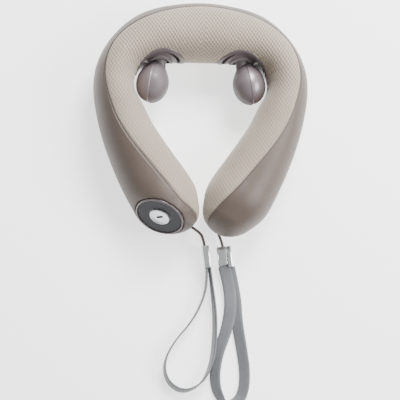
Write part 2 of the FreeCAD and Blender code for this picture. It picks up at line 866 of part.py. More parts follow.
panel_room = panel_hole("panel_room", "panel_radius", -size("panel_depth"), 25)
panel_groove = panel_hole("panel_groove", "panel_radius + groove", -4, 25)
node(
    "panel_ring",
    panel_turned(
        "panel_ring",
        [
            ("0", "0 - panel_depth + 1"),
            ("panel_radius", "0 - panel_depth + 1"),
            ("panel_radius", "0.2"),
            ("panel_radius - 1", "0.9"),
            ("panel_radius - 2.8", "0.9"),
            ("panel_face_radius", "0.2"),
            ("panel_face_radius", "0 - 3"),
            ("panel_face_radius - 2", "0 - 3"),
            ("panel_face_radius - 2", "0 - panel_depth + 2.5"),
            ("0", "0 - panel_depth + 2.5"),
        ],
    ),
)
node(
    "panel_face",
    panel_turned(
        "panel_face",
        [
            ("button_radius + 0.7", "0 - 3"),
            ("panel_face_radius", "0 - 3"),
            ("panel_face_radius", "0 - 0.5"),
            ("button_radius + 0.7", "0 - 1.3"),
        ],
    ),
)
node(
    "power_button",
    panel_turned(
        "power_button",
        [
            ("0", "0 - 4.2"),
            ("button_radius + 1.8", "0 - 4.2"),
            ("button_radius + 1.8", "0 - 3.3"),
            ("button_radius", "0 - 3.3"),
            ("button_radius", "0.5"),
            ("button_radius - 0.6", "0.9"),
            ("button_radius - 1.6", "0.9"),
            ("button_radius - 2.2", "0.6"),
            ("0", "0.3"),
        ],
    ),
)
board_low = -size("panel_depth") + 2.5
node("control_board", panel_hole("control_board", "panel_face_radius - 2.3", board_low, board_low + 1.6))
node(
    "button_switch",
    fuse(
        "button_switch",
        panel_hole("switch_body", "3.4", board_low + 1.6, -6.0),
        panel_hole("switch_tip", "1.6", -6.0, -5.1),
    ),
)

# ---------------------------------------------------------------- battery and charging socket

ARM_DIRECTION = Vector(-0.485, -0.875, 0).normalize()
ARM_SIDE = Vector(0.875, -0.485, 0).normalize()
BATTERY_CENTRE = Vector(60.5, -46.5, MID)
PORT_PLACE = Vector(75.4, -86.4, MID - 6)
PORT_OUTWARD = Vector(0.90, -0.43, 0).normalize()


def aimed_block(name, length, width, height, middle, direction):
    """A box centred on a point, with its length along a level direction."""
    item = document.addObject("Part::Box", name)
    item.Length, item.Width, item.Height = length, width, height
    aim = FreeCAD.Rotation(X_AXIS, direction)
    corner = aim.multVec(Vector(length, width, height) / 2)
    item.Placement = FreeCAD.Placement(middle - corner, aim)
    return item


cell_base = BATTERY_CENTRE - ARM_DIRECTION * 32.5
cells = group(
    "battery_cells",
    [
        cylinder(f"cell_{index}", "9.2", "65", cell_base + ARM_SIDE * offset, ARM_DIRECTION)
        for index, offset in enumerate((-9.4, 9.4))
    ],
)
node("battery_cells", cells)
tray_box = aimed_block("tray_box", 69, 40, 12, BATTERY_CENTRE - Vector(0, 0, 7), ARM_DIRECTION)
cells_room = aimed_block("cells_room", 65.4, 37, 40, BATTERY_CENTRE + Vector(0, 0, 14), ARM_DIRECTION)
node("battery_tray", cut("battery_tray", common("tray_in_arm", tray_box, cavity), cells_room, cells))
port_room = aimed_block("port_room", 18, 10.6, 5.0, PORT_PLACE, PORT_OUTWARD)
port_body = aimed_block("port_body", 10, 10.6, 5.0, PORT_PLACE - PORT_OUTWARD * 4.5, PORT_OUTWARD)
port_mouth = aimed_block("port_mouth", 8, 8.6, 3.0, PORT_PLACE - PORT_OUTWARD * 2.5, PORT_OUTWARD)
node("charge_port", cut("charge_port", port_body, port_mouth))

# ---------------------------------------------------------------- wrist straps, their cords and clips


def tangent_route(points, name, diameter):
    """Straight runs joined by tangent arcs, each arc as large as its two runs allow."""
    points = [Vector(*point) for point in points]
    edges, start, radii = [], points[0], []
    for before, corner, after in zip(points, points[1:], points[2:]):
        back, onward = (before - corner), (after - corner)
        reach = 0.45 * min(back.Length, onward.Length)
        turn = math.pi - back.getAngle(onward)
        radius = reach / math.tan(turn / 2)
        radii.append(radius)
        first = corner + back.normalize() * reach
        last = corner + onward.normalize() * reach
        towards_centre = (back + onward).normalize()
        middle = corner + towards_centre * (radius / math.cos(turn / 2) - radius)
        edges += [Part.LineSegment(start, first).toShape(), Part.Arc(first, middle, last).toShape()]
        start = last
    edges.append(Part.LineSegment(start, points[-1]).toShape())
    wire = Part.Wire(edges)
    tightest = min(radii)
    bend = f"tightest radius {tightest:.1f}, {tightest / diameter:.1f} diameters"
    print(f"{name}: length {wire.Length:.1f}, {bend}")
    return wire


def swept(name, wire, profile, area):
    """A profile carried along a route; its volume has to be the section times the length."""
    shape = wire.makePipeShell([profile], True, False)
    share = shape.Volume / (area * wire.Length)
    print(f"{name}: volume is {share:.3f} of section times length")
    return solid(name, shape)


def cord(name, points):
    radius = size("cord_radius")
    wire = tangent_route(points, name, 2 * radius)
    start, next_point = Vector(*points[0]), Vector(*points[1])
    profile = Part.Wire(Part.Circle(start, next_point - start, radius).toShape())
    return swept(name, wire, profile, math.pi * radius**2)


def strap(name, points):
    """A flat band standing on its edge."""
    low, width, thickness = 0.2, size("strap_width"), size("strap_thickness")
    wire = tangent_route([(x, y, low + width / 2) for x, y in points], name, thickness)
    start = Vector(*points[0], low + width / 2)
    along = (Vector(*points[1], low + width / 2) - start).normalize()
    side = along.cross(Z_AXIS) * thickness / 2
    rise = Z_AXIS * width / 2
    corners = [start + side + rise, start - side + rise, start - side - rise, start + side - rise]
    profile = Part.makePolygon(corners + corners[:1])
    return swept(name, wire, profile, width * thickness)


def clip(name, top, bottom, width, height):
    """A folded metal crimp, joining the thin cord to both ends of the strap."""
    middle = (top + bottom) / 2 + Vector(0, 0, height / 2 + 0.2)
    box = aimed_block(name + "_box", (bottom - top).Length, width, height, middle, bottom - top)
    rounded = document.addObject("Part::Fillet", name)
    rounded.Base = box
    rounded.Edges = [(index, 1.0, 1.0) for index in range(1, 13)]
    return rounded


def grommet(name, points):
    """The bush in the arm's tip that the cord comes out of, with its face at the start of the cord."""
    start, next_point = Vector(*points[0]), Vector(*points[1])
    inward = (start - next_point).normalize()
    return cylinder(name, "cord_radius + 1.7", "9", start, inward)


arm_tools = {"left": [panel_room, panel_groove], "right": [port_room]}
for side, cord_points, clip_facts, strap_points in (
    ("left", CORD_LEFT, CLIP_LEFT, STRAP_LEFT),
    ("right", CORD_RIGHT, CLIP_RIGHT, STRAP_RIGHT),
):
    bush = grommet(f"cord_grommet_{side}", cord_points)
    node(f"cord_grommet_{side}", bush)
    crimp = clip(f"clip_{side}", *clip_facts)
    whole_cord = cord(f"whole_cord_{side}", cord_points)
    node(f"clip_{side}", crimp)
    node(f"cord_{side}", cut(f"cord_{side}", whole_cord, crimp))
    node(f"strap_{side}", cut(f"strap_{side}", strap(f"whole_strap_{side}", strap_points), crimp))
    zone = arm_zone[side]
    holes = [*arm_tools[side], bush, whole_cord]
    hide = common(f"leather_{side}_whole", hide_skin, zone)
    knit = common(f"mesh_{side}_whole", knit_skin, zone)
    foam = common(f"foam_{side}_whole", foam_all, zone)
    node(f"leather_arm_{side}", cut(f"leather_arm_{side}", hide, *holes))
    node(f"mesh_arm_{side}", cut(f"mesh_arm_{side}", knit, *holes))
    node(f"foam_arm_{side}", cut(f"foam_arm_{side}", foam, *holes))
    knuckle_right = knuckle(f"arm_knuckle_{side}", *ARM_KNUCKLE, False, arm_zone["right"])
    rooms = [
        clear_of_pin(f"low_room_{side}", 0, ARM_KNUCKLE[0] - 0.3),
        clear_of_pin(f"high_room_{side}", ARM_KNUCKLE[1] + 0.3, 64),
    ]
    if side == "left":
        knuckle_right = mirror("arm_knuckle_mirrored", knuckle_right)
        rooms = [mirror(f"room_mirrored_{index}", room) for index, room in enumerate(rooms)]
        bore = mirror("running_bore_left", running_bore)
    else:
        bore = running_bore
    plain = cut(f"shell_{side}_plain", common(f"shell_{side}_whole", shell_all, zone), *rooms)
    rigid = fuse(f"shell_{side}_rigid", plain, knuckle_right)
    node(f"shell_arm_{side}", cut(f"shell_arm_{side}", rigid, bore, *holes))

# ---------------------------------------------------------------- check and write

document.recompute()
failed = [item.Name for item in document.Objects if {"Invalid", "Error"} & set(item.State)]
for name, item in nodes.items():
    if item.Shape.isNull() or not item.Shape.isValid() or not item.Shape.Solids:
        failed.append(name)
if failed:
    raise RuntimeError(f"these objects failed: {sorted(set(failed))}")
os.makedirs("parts", exist_ok=True)
for name, item in sorted(nodes.items()):
    item.Shape.exportStep(f"parts/{name}.step")
    print(f"{name}: {len(item.Shape.Solids)} solids, {item.Shape.Volume:.0f} mm3")
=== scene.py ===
"""Looks of the shiatsu neck massager: covers, heads, panel, clips, cords and straps round the CAD frame."""

import bpy
import json
import math
import numpy as np
from mathutils import Matrix, Vector
from mathutils.bvhtree import BVHTree


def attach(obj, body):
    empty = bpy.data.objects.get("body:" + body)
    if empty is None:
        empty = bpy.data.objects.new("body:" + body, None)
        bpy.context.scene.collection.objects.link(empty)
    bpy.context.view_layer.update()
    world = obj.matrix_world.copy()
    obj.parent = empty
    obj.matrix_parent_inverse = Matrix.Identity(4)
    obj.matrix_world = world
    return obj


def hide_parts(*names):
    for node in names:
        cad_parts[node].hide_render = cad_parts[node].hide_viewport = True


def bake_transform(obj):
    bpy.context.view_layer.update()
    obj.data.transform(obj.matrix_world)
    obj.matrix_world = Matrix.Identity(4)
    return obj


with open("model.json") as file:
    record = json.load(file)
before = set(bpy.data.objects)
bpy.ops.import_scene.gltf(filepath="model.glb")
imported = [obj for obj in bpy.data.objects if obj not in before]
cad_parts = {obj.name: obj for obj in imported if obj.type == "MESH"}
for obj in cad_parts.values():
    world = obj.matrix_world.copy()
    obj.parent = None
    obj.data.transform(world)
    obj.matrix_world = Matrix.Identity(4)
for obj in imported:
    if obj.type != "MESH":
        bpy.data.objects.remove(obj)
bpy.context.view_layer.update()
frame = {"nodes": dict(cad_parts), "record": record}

MM = 0.001
MID = 32.0

# The right half of the body in plan: outer edge x and y, inner edge x and y, half of the height, in mm.
STATIONS = np.array(
    [
        (0.0, 123.8, 0.0, 61.0, 34.0),
        (35.7, 120.0, 18.0, 61.0, 34.0),
        (65.0, 110.4, 35.7, 60.7, 34.0),
        (88.2, 92.0, 52.5, 59.0, 33.6),
        (103.0, 71.5, 64.4, 52.6, 32.8),
        (110.8, 51.0, 69.8, 42.0, 31.8),
        (112.7, 32.0, 69.2, 29.5, 31.2),
        (110.8, 11.7, 61.2, 14.4, 31.0),
        (106.0, -11.4, 53.2, -2.0, 31.2),
        (98.2, -36.6, 41.8, -19.8, 31.8),
        (88.2, -61.8, 28.4, -38.7, 32.6),
        (76.3, -87.0, 14.7, -57.7, 33.4),
        (63.2, -106.8, 5.2, -75.5, 33.0),
        (48.3, -118.2, 2.4, -92.3, 27.5),
        (34.5, -123.0, 4.6, -106.6, 19.0),
        (24.0, -122.6, 10.0, -114.8, 9.5),
    ]
)
# Where the knitted cover meets the leather, in plan, right half.
SEAM = np.array(
    [
        (0.0, 115.0),
        (30.0, 111.5),
        (54.0, 104.0),
        (75.0, 92.8),
        (89.0, 80.0),
        (98.0, 62.0),
        (101.0, 48.0),
        (98.5, 24.0),
        (89.0, -4.0),
        (68.0, -36.5),
        (52.0, -55.5),
        (34.0, -76.0),
        (16.0, -94.0),
        (8.0, -107.0),
        (10.0, -117.0),
    ]
)
PANEL_CENTRE = Vector((-43.7, -104.8, 42.8))
PANEL_NORMAL = Vector((-0.35, -0.80, 0.49)).normalized()
HEAD_AXIS_X = 43.0
CORD_LEFT = [(-9.5, -112.0, 22.0), (-0.5, -117.0, 18.5), (4.5, -123.0, 12.0), (6.4, -133.0, 8.0)]
CORD_RIGHT = [(16.5, -108.5, 22.0), (19.5, -117.5, 13.0), (24.0, -124.5, 7.5), (26.0, -133.0, 5.0)]
STRAP_LEFT = [
    (8.3, -153.0),
    (8.7, -169.0),
    (4.0, -189.0),
    (-8.0, -211.0),
    (-26.0, -231.0),
    (-36.5, -252.0),
    (-33.5, -272.0),
    (-16.5, -283.5),
    (3.0, -275.0),
    (13.5, -254.0),
    (17.0, -228.0),
    (17.0, -200.0),
    (14.0, -175.0),
    (11.2, -153.0),
]
STRAP_RIGHT = [
    (27.0, -152.0),
    (32.5, -172.0),
    (34.0, -196.0),
    (29.0, -220.0),
    (20.0, -243.0),
    (16.5, -266.0),
    (19.0, -283.0),
    (27.0, -294.5),
    (39.5, -294.5),
    (47.0, -283.0),
    (48.8, -262.0),
    (45.0, -236.0),
    (40.5, -210.0),
    (39.0, -182.0),
    (32.0, -152.0),
]


# ---------------------------------------------------------------- materials


def srgb(code):
    """A linear colour from a hex code."""
    parts = [int(code[i : i + 2], 16) / 255 for i in (1, 3, 5)]
    return [c / 12.92 if c <= 0.04045 else ((c + 0.055) / 1.055) ** 2.4 for c in parts]


class Nodes:
    """Short ways of wiring a material."""

    def __init__(self, name):
        self.material = bpy.data.materials.new(name)
        self.material.use_nodes = True
        self.tree = self.material.node_tree
        self.shader = self.tree.nodes["Principled BSDF"]

    def add(self, kind, **values):
        made = self.tree.nodes.new(kind)
        for key, value in values.items():
            setattr(made, key, value)
        return made

    def link(self, output, target):
        self.tree.links.new(output, target)

    def set(self, node, socket, value):
        if isinstance(value, bpy.types.NodeSocket):
            self.link(value, node.inputs[socket])
        else:
            node.inputs[socket].default_value = value

    def math(self, operation, first, second=0.0, third=0.5):
        made = self.add("ShaderNodeMath", operation=operation)
        for socket, value in enumerate((first, second, third)):
            self.set(made, socket, value)
        return made.outputs[0]

    def place(self, attribute=None):
        """Where the texture sits: on the rest shape, or on the object."""
        if attribute:
            return self.add("ShaderNodeAttribute", attribute_name=attribute).outputs["Vector"]
        return self.add("ShaderNodeTexCoord").outputs["Object"]

    def noise(self, place, scale, detail=3.0, rough=0.55):
        made = self.add("ShaderNodeTexNoise")
        self.link(place, made.inputs["Vector"])
        self.set(made, "Scale", scale)
        self.set(made, "Detail", detail)
        self.set(made, "Roughness", rough)
        return made.outputs["Fac"]

    def wave(self, place, direction, pitch, shift=0.0):
        """A sine from 0 to 1 that repeats every pitch metres along a direction."""
        dot = self.add("ShaderNodeVectorMath", operation="DOT_PRODUCT")
        self.link(place, dot.inputs[0])
        dot.inputs[1].default_value = Vector(direction).normalized() * (2 * math.pi / pitch)
        angle = self.math("ADD", dot.outputs["Value"], shift)
        return self.math("MULTIPLY_ADD", self.math("SINE", angle), 0.5, 0.5)

    def mix(self, factor, first, second):
        made = self.add("ShaderNodeMix", data_type="RGBA")
        self.link(factor, made.inputs["Factor"])
        made.inputs[6].default_value = (*first, 1)
        made.inputs[7].default_value = (*second, 1)
        return made.outputs[2]

    def span(self, factor, low, high, start=0.0, stop=1.0):
        made = self.add("ShaderNodeMapRange")
        self.link(factor, made.inputs["Value"])
        for socket, value in (("From Min", start), ("From Max", stop), ("To Min", low), ("To Max", high)):
            made.inputs[socket].default_value = value
        return made.outputs[0]

    def bump(self, height, strength, distance, below=None):
        made = self.add("ShaderNodeBump")
        made.inputs["Strength"].default_value = strength
        made.inputs["Distance"].default_value = distance
        self.link(height, made.inputs["Height"])
        if below:
            self.link(below, made.inputs["Normal"])
        return made.outputs[0]


def shades(code, spread):
    colour = srgb(code)
    return [c * (1 - spread) for c in colour], [min(1.0, c * (1 + spread)) for c in colour]


def finish(name, code, roughness, metallic=0.0, coat=0.0, specular=0.5, spread=0.08, mottle=60.0,
           grain=0.0, grain_scale=900.0, attribute=None):
    """A finish with mottled colour, uneven roughness and a fine grain."""
    n = Nodes(name)
    place = n.place(attribute)
    broad = n.noise(place, mottle)
    dark, light = shades(code, spread)
    n.link(n.mix(n.span(broad, 0, 1, 0.3, 0.7), dark, light), n.shader.inputs["Base Color"])
    n.link(n.span(broad, roughness * 0.85, roughness * 1.15, 0.3, 0.7), n.shader.inputs["Roughness"])
    n.shader.inputs["Metallic"].default_value = metallic
    n.shader.inputs["Coat Weight"].default_value = coat
    n.shader.inputs["Coat Roughness"].default_value = 0.18
    n.shader.inputs["Specular IOR Level"].default_value = specular
    if grain:
        n.link(n.bump(n.noise(place, grain_scale, 2.0), grain, 0.0004), n.shader.inputs["Normal"])
    return n.material


def leather():
    n = Nodes("leather_taupe")
    place = n.place("rest")
    cells = n.add("ShaderNodeTexVoronoi", feature="DISTANCE_TO_EDGE")
    n.link(place, cells.inputs["Vector"])
    cells.inputs["Scale"].default_value = 950.0
    broad = n.noise(place, 22.0, 4.0)
    dark, light = shades("#564b44", 0.07)
    n.link(n.mix(n.span(broad, 0, 1, 0.3, 0.7), dark, light), n.shader.inputs["Base Color"])
    n.link(n.span(broad, 0.40, 0.54, 0.3, 0.7), n.shader.inputs["Roughness"])
    n.shader.inputs["Specular IOR Level"].default_value = 0.45
    pores = n.span(cells.outputs["Distance"], 0, 1, 0.0, 0.12)
    creases = n.bump(n.noise(place, 160.0, 4.0), 0.10, 0.001)
    n.link(n.bump(pores, 0.14, 0.0002, creases), n.shader.inputs["Normal"])
    return n.material


def knit():
    """Small stitches where two waves cross, light on their loops, with fine yarns and fibres over them."""
    n = Nodes("knit_beige")
    place = n.place("rest")
    cloth = n.add("ShaderNodeUVMap", uv_map="UVMap").outputs["UV"]
    drift = n.math("MULTIPLY", n.noise(place, 55.0, 2.0), 1.6)
    rows = n.wave(cloth, (0.82, 0.58, 0), 0.00305, drift)
    stitches = n.wave(cloth, (0.86, -0.51, 0), 0.0029, drift)
    split = n.add("ShaderNodeSeparateXYZ")
    n.link(place, split.inputs[0])
    raised = n.span(split.outputs[1], 0.45, 1.0, 0.0, 0.08)
    weave = n.math("ADD", n.math("MULTIPLY", rows, 0.58), n.math("MULTIPLY", stitches, 0.42))
    loops = n.math("MULTIPLY", weave, raised)
    fibre = n.noise(place, 2600.0, 2.0)
    broad = n.noise(place, 18.0, 3.0)
    dark, light = srgb("#51473d"), srgb("#b5a898")
    even = n.math("MULTIPLY", n.math("SUBTRACT", 1.0, raised), 0.5)
    woven = n.math("MULTIPLY", n.math("ADD", loops, even), 0.75)
    worn = n.math("ADD", woven, n.math("MULTIPLY", broad, 0.32))
    fibrous = n.math("ADD", worn, n.math("MULTIPLY", fibre, 0.22))
    n.link(n.mix(fibrous, dark, light), n.shader.inputs["Base Color"])
    n.link(n.span(broad, 0.78, 0.92), n.shader.inputs["Roughness"])
    n.shader.inputs["Sheen Weight"].default_value = 0.35
    n.shader.inputs["Sheen Roughness"].default_value = 0.5
    n.shader.inputs["Specular IOR Level"].default_value = 0.2
    fuzz = n.bump(fibre, 0.2, 0.0002)
    yarns = n.wave(cloth, (0.31, 0.95, 0), 0.00082, n.math("MULTIPLY", drift, 3.0))
    yarn_relief = n.bump(yarns, 0.35, 0.0002, fuzz)
    n.link(n.bump(loops, 0.6, 0.0006, yarn_relief), n.shader.inputs["Normal"])
    return n.material


def webbing(name, low, high):
    """A flat band woven in fine cross ribs."""
    n = Nodes(name)
    place = n.add("ShaderNodeUVMap", uv_map="UVMap").outputs["UV"]
    ribs = n.wave(place, (1, 0, 0), 0.0011)
    yarns = n.wave(place, (0, 1, 0), 0.0009)
    weave = n.math("MULTIPLY", ribs, n.math("MULTIPLY_ADD", yarns, 0.5, 0.5))
    broad = n.noise(place, 45.0, 3.0)
    shade = n.math("ADD", n.math("MULTIPLY", weave, 0.55), n.math("MULTIPLY", broad, 0.5))
    n.link(n.mix(shade, srgb(low), srgb(high)), n.shader.inputs["Base Color"])
    n.link(n.span(broad, 0.62, 0.82), n.shader.inputs["Roughness"])
    n.shader.inputs["Sheen Weight"].default_value = 0.2
    n.link(n.bump(weave, 0.5, 0.0003), n.shader.inputs["Normal"])
    return n.material


def spun_metal():
    """Turned metal: fine rings about the object's own Z."""
    n = Nodes("button_spun_metal")
    place = n.place()
    split = n.add("ShaderNodeSeparateXYZ")
    n.link(place, split.inputs[0])
    square = n.math("ADD", n.math("POWER", split.outputs[0], 2.0), n.math("POWER", split.outputs[1], 2.0))
    radius = n.math("MULTIPLY", n.math("SQRT", square), 9000.0)
    rings = n.math("SINE", n.math("ADD", radius, n.math("MULTIPLY", n.noise(place, 500.0), 3.0)))
    n.link(n.mix(n.span(rings, 0, 1, -1, 1), srgb("#aeb3b8"), srgb("#dde1e4")), n.shader.inputs["Base Color"])
    n.link(n.span(n.noise(place, 300.0), 0.26, 0.42), n.shader.inputs["Roughness"])
    n.shader.inputs["Metallic"].default_value = 0.9
    n.shader.inputs["Anisotropic"].default_value = 0.6
    n.link(n.bump(rings, 0.12, 0.0001), n.shader.inputs["Normal"])
    return n.material


LEATHER = leather()
KNIT = knit()
PIPING = finish("seam_thread", "#5e564f", 0.75, spread=0.12, mottle=700, grain=0.4, attribute="rest")
MAUVE = finish("bezel_mauve", "#5a5052", 0.34, coat=0.25, spread=0.04, grain=0.05)
MAUVE_MATT = finish("socket_mauve", "#62585b", 0.42, spread=0.05, grain=0.08)
RUBBER = finish("soft_rubber", "#6f6769", 0.62, spread=0.06, grain=0.2)
GLOSS = finish("head_gloss", "#7b7074", 0.40, metallic=0.4, coat=0.5, spread=0.03, mottle=30)
HEAD = finish("head_satin", "#625a5d", 0.5, spread=0.04, grain=0.08)
DARK = finish("panel_dark", "#25262b", 0.42, specular=0.2, spread=0.05, grain=0.06)
INK = finish("print_dark", "#0c0c0e", 0.5, spread=0.05, grain=0.05)
SLIT = finish("slit_black", "#060607", 0.6, spread=0.1, grain=0.05)
SPUN = spun_metal()
CHROME = finish("clip_silver", "#e9ebec", 0.16, metallic=0.95, spread=0.03, mottle=90, grain=0.05)
STRAP = webbing("strap_weave", "#57595c", "#86898c")
BRAID = finish("cord_braid", "#5d5550", 0.8, spread=0.25, mottle=1500, grain=0.8, grain_scale=1700)
INNER = {
    "shell_plastic": finish("shell_plastic", "#2c2c2f", 0.55, grain=0.1),
    "heater_film": finish("heater_film", "#b98a3c", 0.5, grain=0.1),
    "foam": finish("foam_grey", "#5b5b5e", 0.9, spread=0.15, mottle=500, grain=0.8),
    "bezel_plastic": MAUVE,
    "socket_plastic": MAUVE_MATT,
    "soft_rubber": RUBBER,
    "gearbox_plastic": finish("gearbox_plastic", "#cfcfca", 0.5, grain=0.08),
    "steel": finish("steel", "#a9abad", 0.3, metallic=1.0, grain=0.05),
    "bronze": finish("bronze", "#9a6b3d", 0.4, metallic=1.0, grain=0.2),
    "worm_brass": finish("worm_brass", "#c39b4e", 0.28, metallic=1.0, grain=0.05),
    "motor_can": finish("motor_can", "#9b9da0", 0.35, metallic=0.9, grain=0.06),
    "wheel_plastic": finish("wheel_plastic", "#e6e3d6", 0.45, grain=0.05),
    "head_core": HEAD,
    "head_gloss": GLOSS,
    "panel_dark": DARK,
    "board_green": finish("board_green", "#1f5a36", 0.45, grain=0.08),
    "switch_black": SLIT,
    "button_metal": SPUN,
    "cell_wrap": finish("cell_wrap", "#3c6d9c", 0.35, coat=0.3, grain=0.05),
    "cord_weave": BRAID,
    "clip_metal": CHROME,
    "strap_weave": STRAP,
    "cover_leather": LEATHER,
    "cover_knit": KNIT,
}
for part in frame["record"]["subparts"]:
    mesh = frame["nodes"][part["node"]].data
    mesh.materials.clear()
    mesh.materials.append(INNER[part["material_slot"]])

# ---------------------------------------------------------------- meshes


def new_object(name, points, faces, material, smooth=True, uv=None, crease=None):
    """A mesh in metres from points in millimetres."""
    mesh = bpy.data.meshes.new(name)
    points = np.asarray(points, float) * MM
    mesh.from_pydata(points.tolist(), [], [list(f) for f in faces])
    mesh.update()
    rest = mesh.attributes.new("rest", "FLOAT_VECTOR", "POINT")
    rest.data.foreach_set("vector", points.astype(np.float32).ravel())
    if uv is not None:
        layer = mesh.uv_layers.new(name="UVMap")
        corners = np.zeros(len(mesh.loops), int)
        mesh.loops.foreach_get("vertex_index", corners)
        layer.data.foreach_set("uv", (np.asarray(uv, np.float32)[corners] * MM).ravel())
    if smooth:
        mesh.shade_smooth()
    if crease:
        mesh.set_sharp_from_angle(angle=math.radians(crease))
    item = bpy.data.objects.new(name, mesh)
    bpy.context.scene.collection.objects.link(item)
    item.data.materials.append(material)
    return item


def belongs(item, body, slot, *nodes):
    """Gives a piece its body and hides the CAD nodes that it replaces, if any; its material slot is not used.
    """
    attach(item, body)
    if nodes:
        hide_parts(*nodes)


def grid_faces(rows, columns, wrap=False):
    """Four-sided faces between the points of a grid, closed round its columns if wrap is true."""
    faces = []
    for i in range(rows - 1):
        for j in range(columns if wrap else columns - 1):
            k = (j + 1) % columns
            faces.append((i * columns + j, i * columns + k, (i + 1) * columns + k, (i + 1) * columns + j))
    return faces


def spline(knots, values, at):
    """A natural cubic spline through each column of values."""
    count, gap = len(knots), np.diff(knots)
    system, right = np.eye(count), np.zeros_like(values)
    for i in range(1, count - 1):
        system[i, i - 1 : i + 2] = gap[i - 1], 2 * (gap[i - 1] + gap[i]), gap[i]
        right[i] = 3 * ((values[i + 1] - values[i]) / gap[i] - (values[i] - values[i - 1]) / gap[i - 1])
    bend = np.linalg.solve(system, right)
    k = np.clip(np.searchsorted(knots, at, side="right") - 1, 0, count - 2)
    d, g = (at - knots[k])[:, None], gap[k][:, None]
    slope = (values[k + 1] - values[k]) / g - g * (2 * bend[k] + bend[k + 1]) / 3
    return values[k] + slope * d + bend[k] * d**2 + (bend[k + 1] - bend[k]) / (3 * g) * d**3


def unit(v):
    """Vectors brought to length 1."""
    return v / np.maximum(np.linalg.norm(v, axis=-1, keepdims=True), 1e-9)


def tube_mesh(name, line, radius, around, material):
    """A round tube along a line of points."""
    line = np.asarray(line, float)
    ahead = unit(np.gradient(line, axis=0))
    side_way = unit(np.cross(ahead, [0.03, 0.02, 1.0]))
    up = np.cross(side_way, ahead)
    turn = np.linspace(0, 2 * math.pi, around, endpoint=False)
    ring = side_way[:, None] * np.cos(turn)[None, :, None] + up[:, None] * np.sin(turn)[None, :, None]
    points = line[:, None] + radius * ring
    faces = grid_faces(len(line), around, wrap=True)
    faces += [tuple(range(around))[::-1], tuple(range((len(line) - 1) * around, len(line) * around))]
    return new_object(name, points.reshape(-1, 3), faces, material)


def lathe(name, profile, base, direction, material, around=96, crease=38.0):
    """A turned piece: profile is (radius, height) along a direction; its own Z is that direction."""
    points, turn = [], np.linspace(0, 2 * math.pi, around, endpoint=False)
    for radius, height in profile:
        points += [(radius * math.cos(a), radius * math.sin(a), height) for a in turn]
    faces = grid_faces(len(profile), around, wrap=True)
    if profile[0][0] > 0:
        faces.append(tuple(range(around))[::-1])
    faces.append(tuple(range((len(profile) - 1) * around, len(profile) * around)))
    item = new_object(name, points, faces, material, crease=crease)
    aim = direction.to_track_quat("Z", "Y").to_matrix().to_4x4()
    item.matrix_world = Matrix.Translation(base * MM) @ aim
    return item


# ---------------------------------------------------------------- covers

MIRRORED = np.vstack([STATIONS[:0:-1] * [-1, 1, -1, 1, 1], STATIONS])
CENTRES = (MIRRORED[:, :2] + MIRRORED[:, 2:4]) / 2
KNOTS = np.concatenate([[0], np.cumsum(np.linalg.norm(np.diff(CENTRES, axis=0), axis=1))])
KNOTS -= KNOTS[len(STATIONS) - 1]
LENGTH = KNOTS[-1]
ROUND_FROM = KNOTS[-3]
ROUND_LENGTH = 17.3
ROUND_START = math.radians(30)
STEP = 1.8


def sections(at):
    """Centre, outward direction, half width and half height of the tube at each place along it."""
    row = spline(KNOTS, MIRRORED, at)
    centre = (row[:, :2] + row[:, 2:4]) / 2
    across = (row[:, :2] - row[:, 2:4]) / 2
    width = np.linalg.norm(across, axis=1)
    return centre, across / width[:, None], width, row[:, 4]


def right_rows():
    """Section data for the right half, with a rounded end to the arm."""
    at = np.linspace(0, ROUND_FROM, int(ROUND_FROM / STEP))
    centre, across, width, height = sections(at)
    polar = np.linspace(ROUND_START, math.pi / 2, 22)[1:]
    ahead = (np.sin(polar) - math.sin(ROUND_START)) / (1 - math.sin(ROUND_START)) * ROUND_LENGTH
    tip_at = ROUND_FROM + ahead
    tip_centre, tip_across, _, _ = sections(np.minimum(tip_at, LENGTH))
    past = np.maximum(tip_at - LENGTH, 0)
    run = unit(CENTRES[-1] - CENTRES[-2])
    tip_centre = tip_centre + past[:, None] * run
    shrink = np.maximum(np.cos(polar) / math.cos(ROUND_START), 0.012)
    return (
        np.concatenate([at, tip_at]),
        np.vstack([centre, tip_centre]),
        np.vstack([across, tip_across]),
        np.concatenate([width, width[-1] * shrink]),
        np.concatenate([height, height[-1] * shrink]),
    )


def seam_share(centre, across, width):
    """Where the seam crosses each section: from -1 at the inner edge to 1 at the outer edge."""
    knots = np.concatenate([[0], np.cumsum(np.linalg.norm(np.diff(SEAM, axis=0), axis=1))])
    line = spline(knots, SEAM, np.linspace(0, knots[-1], 1500))
    share = np.full(len(centre), np.nan)
    for i in range(len(centre)):
        offset = line - centre[i]
        forward = offset @ np.array([across[i][1], -across[i][0]])
        beside = offset @ across[i]
        crossing = np.nonzero((forward[:-1] * forward[1:] <= 0) & (np.abs(beside[:-1]) < 1.3 * width[i]))[0]
        if len(crossing):
            share[i] = beside[crossing[0]] / width[i]
    known = np.nonzero(~np.isnan(share))[0]
    share = np.interp(np.arange(len(share)), known, share[known])
    padded = np.pad(share, 8, mode="reflect", reflect_type="odd")
    kernel = np.hanning(17)
    return np.clip(np.convolve(padded, kernel / kernel.sum(), "valid"), -0.93, 0.93)


def unevenness(points):
    """Slow swellings of the padding under the covers, in mm."""
    x, y, z = points[..., 0], points[..., 1], points[..., 2]
    swell = np.sin(x / 17 + 1.3 * np.sin(y / 31)) * np.sin(y / 19 + 0.7) * np.sin(z / 15 + 0.4)
    ripple = np.sin(x / 7.3 + y / 9.1) * np.sin(y / 6.7 - z / 8.3)
    return 0.28 * swell + 0.06 * ripple


KNIT_END = ROUND_FROM + 14.2
STITCH_PITCH = 5.2


def seam_turn(at, share):
    """The seam's angle round each section; near the tip the two seams close on the inner side."""
    going = np.clip((at - ROUND_FROM) / (KNIT_END - ROUND_FROM), 0, 1)
    return math.pi - (math.pi - np.arccos(share)) * np.sqrt(1 - going**2.4)


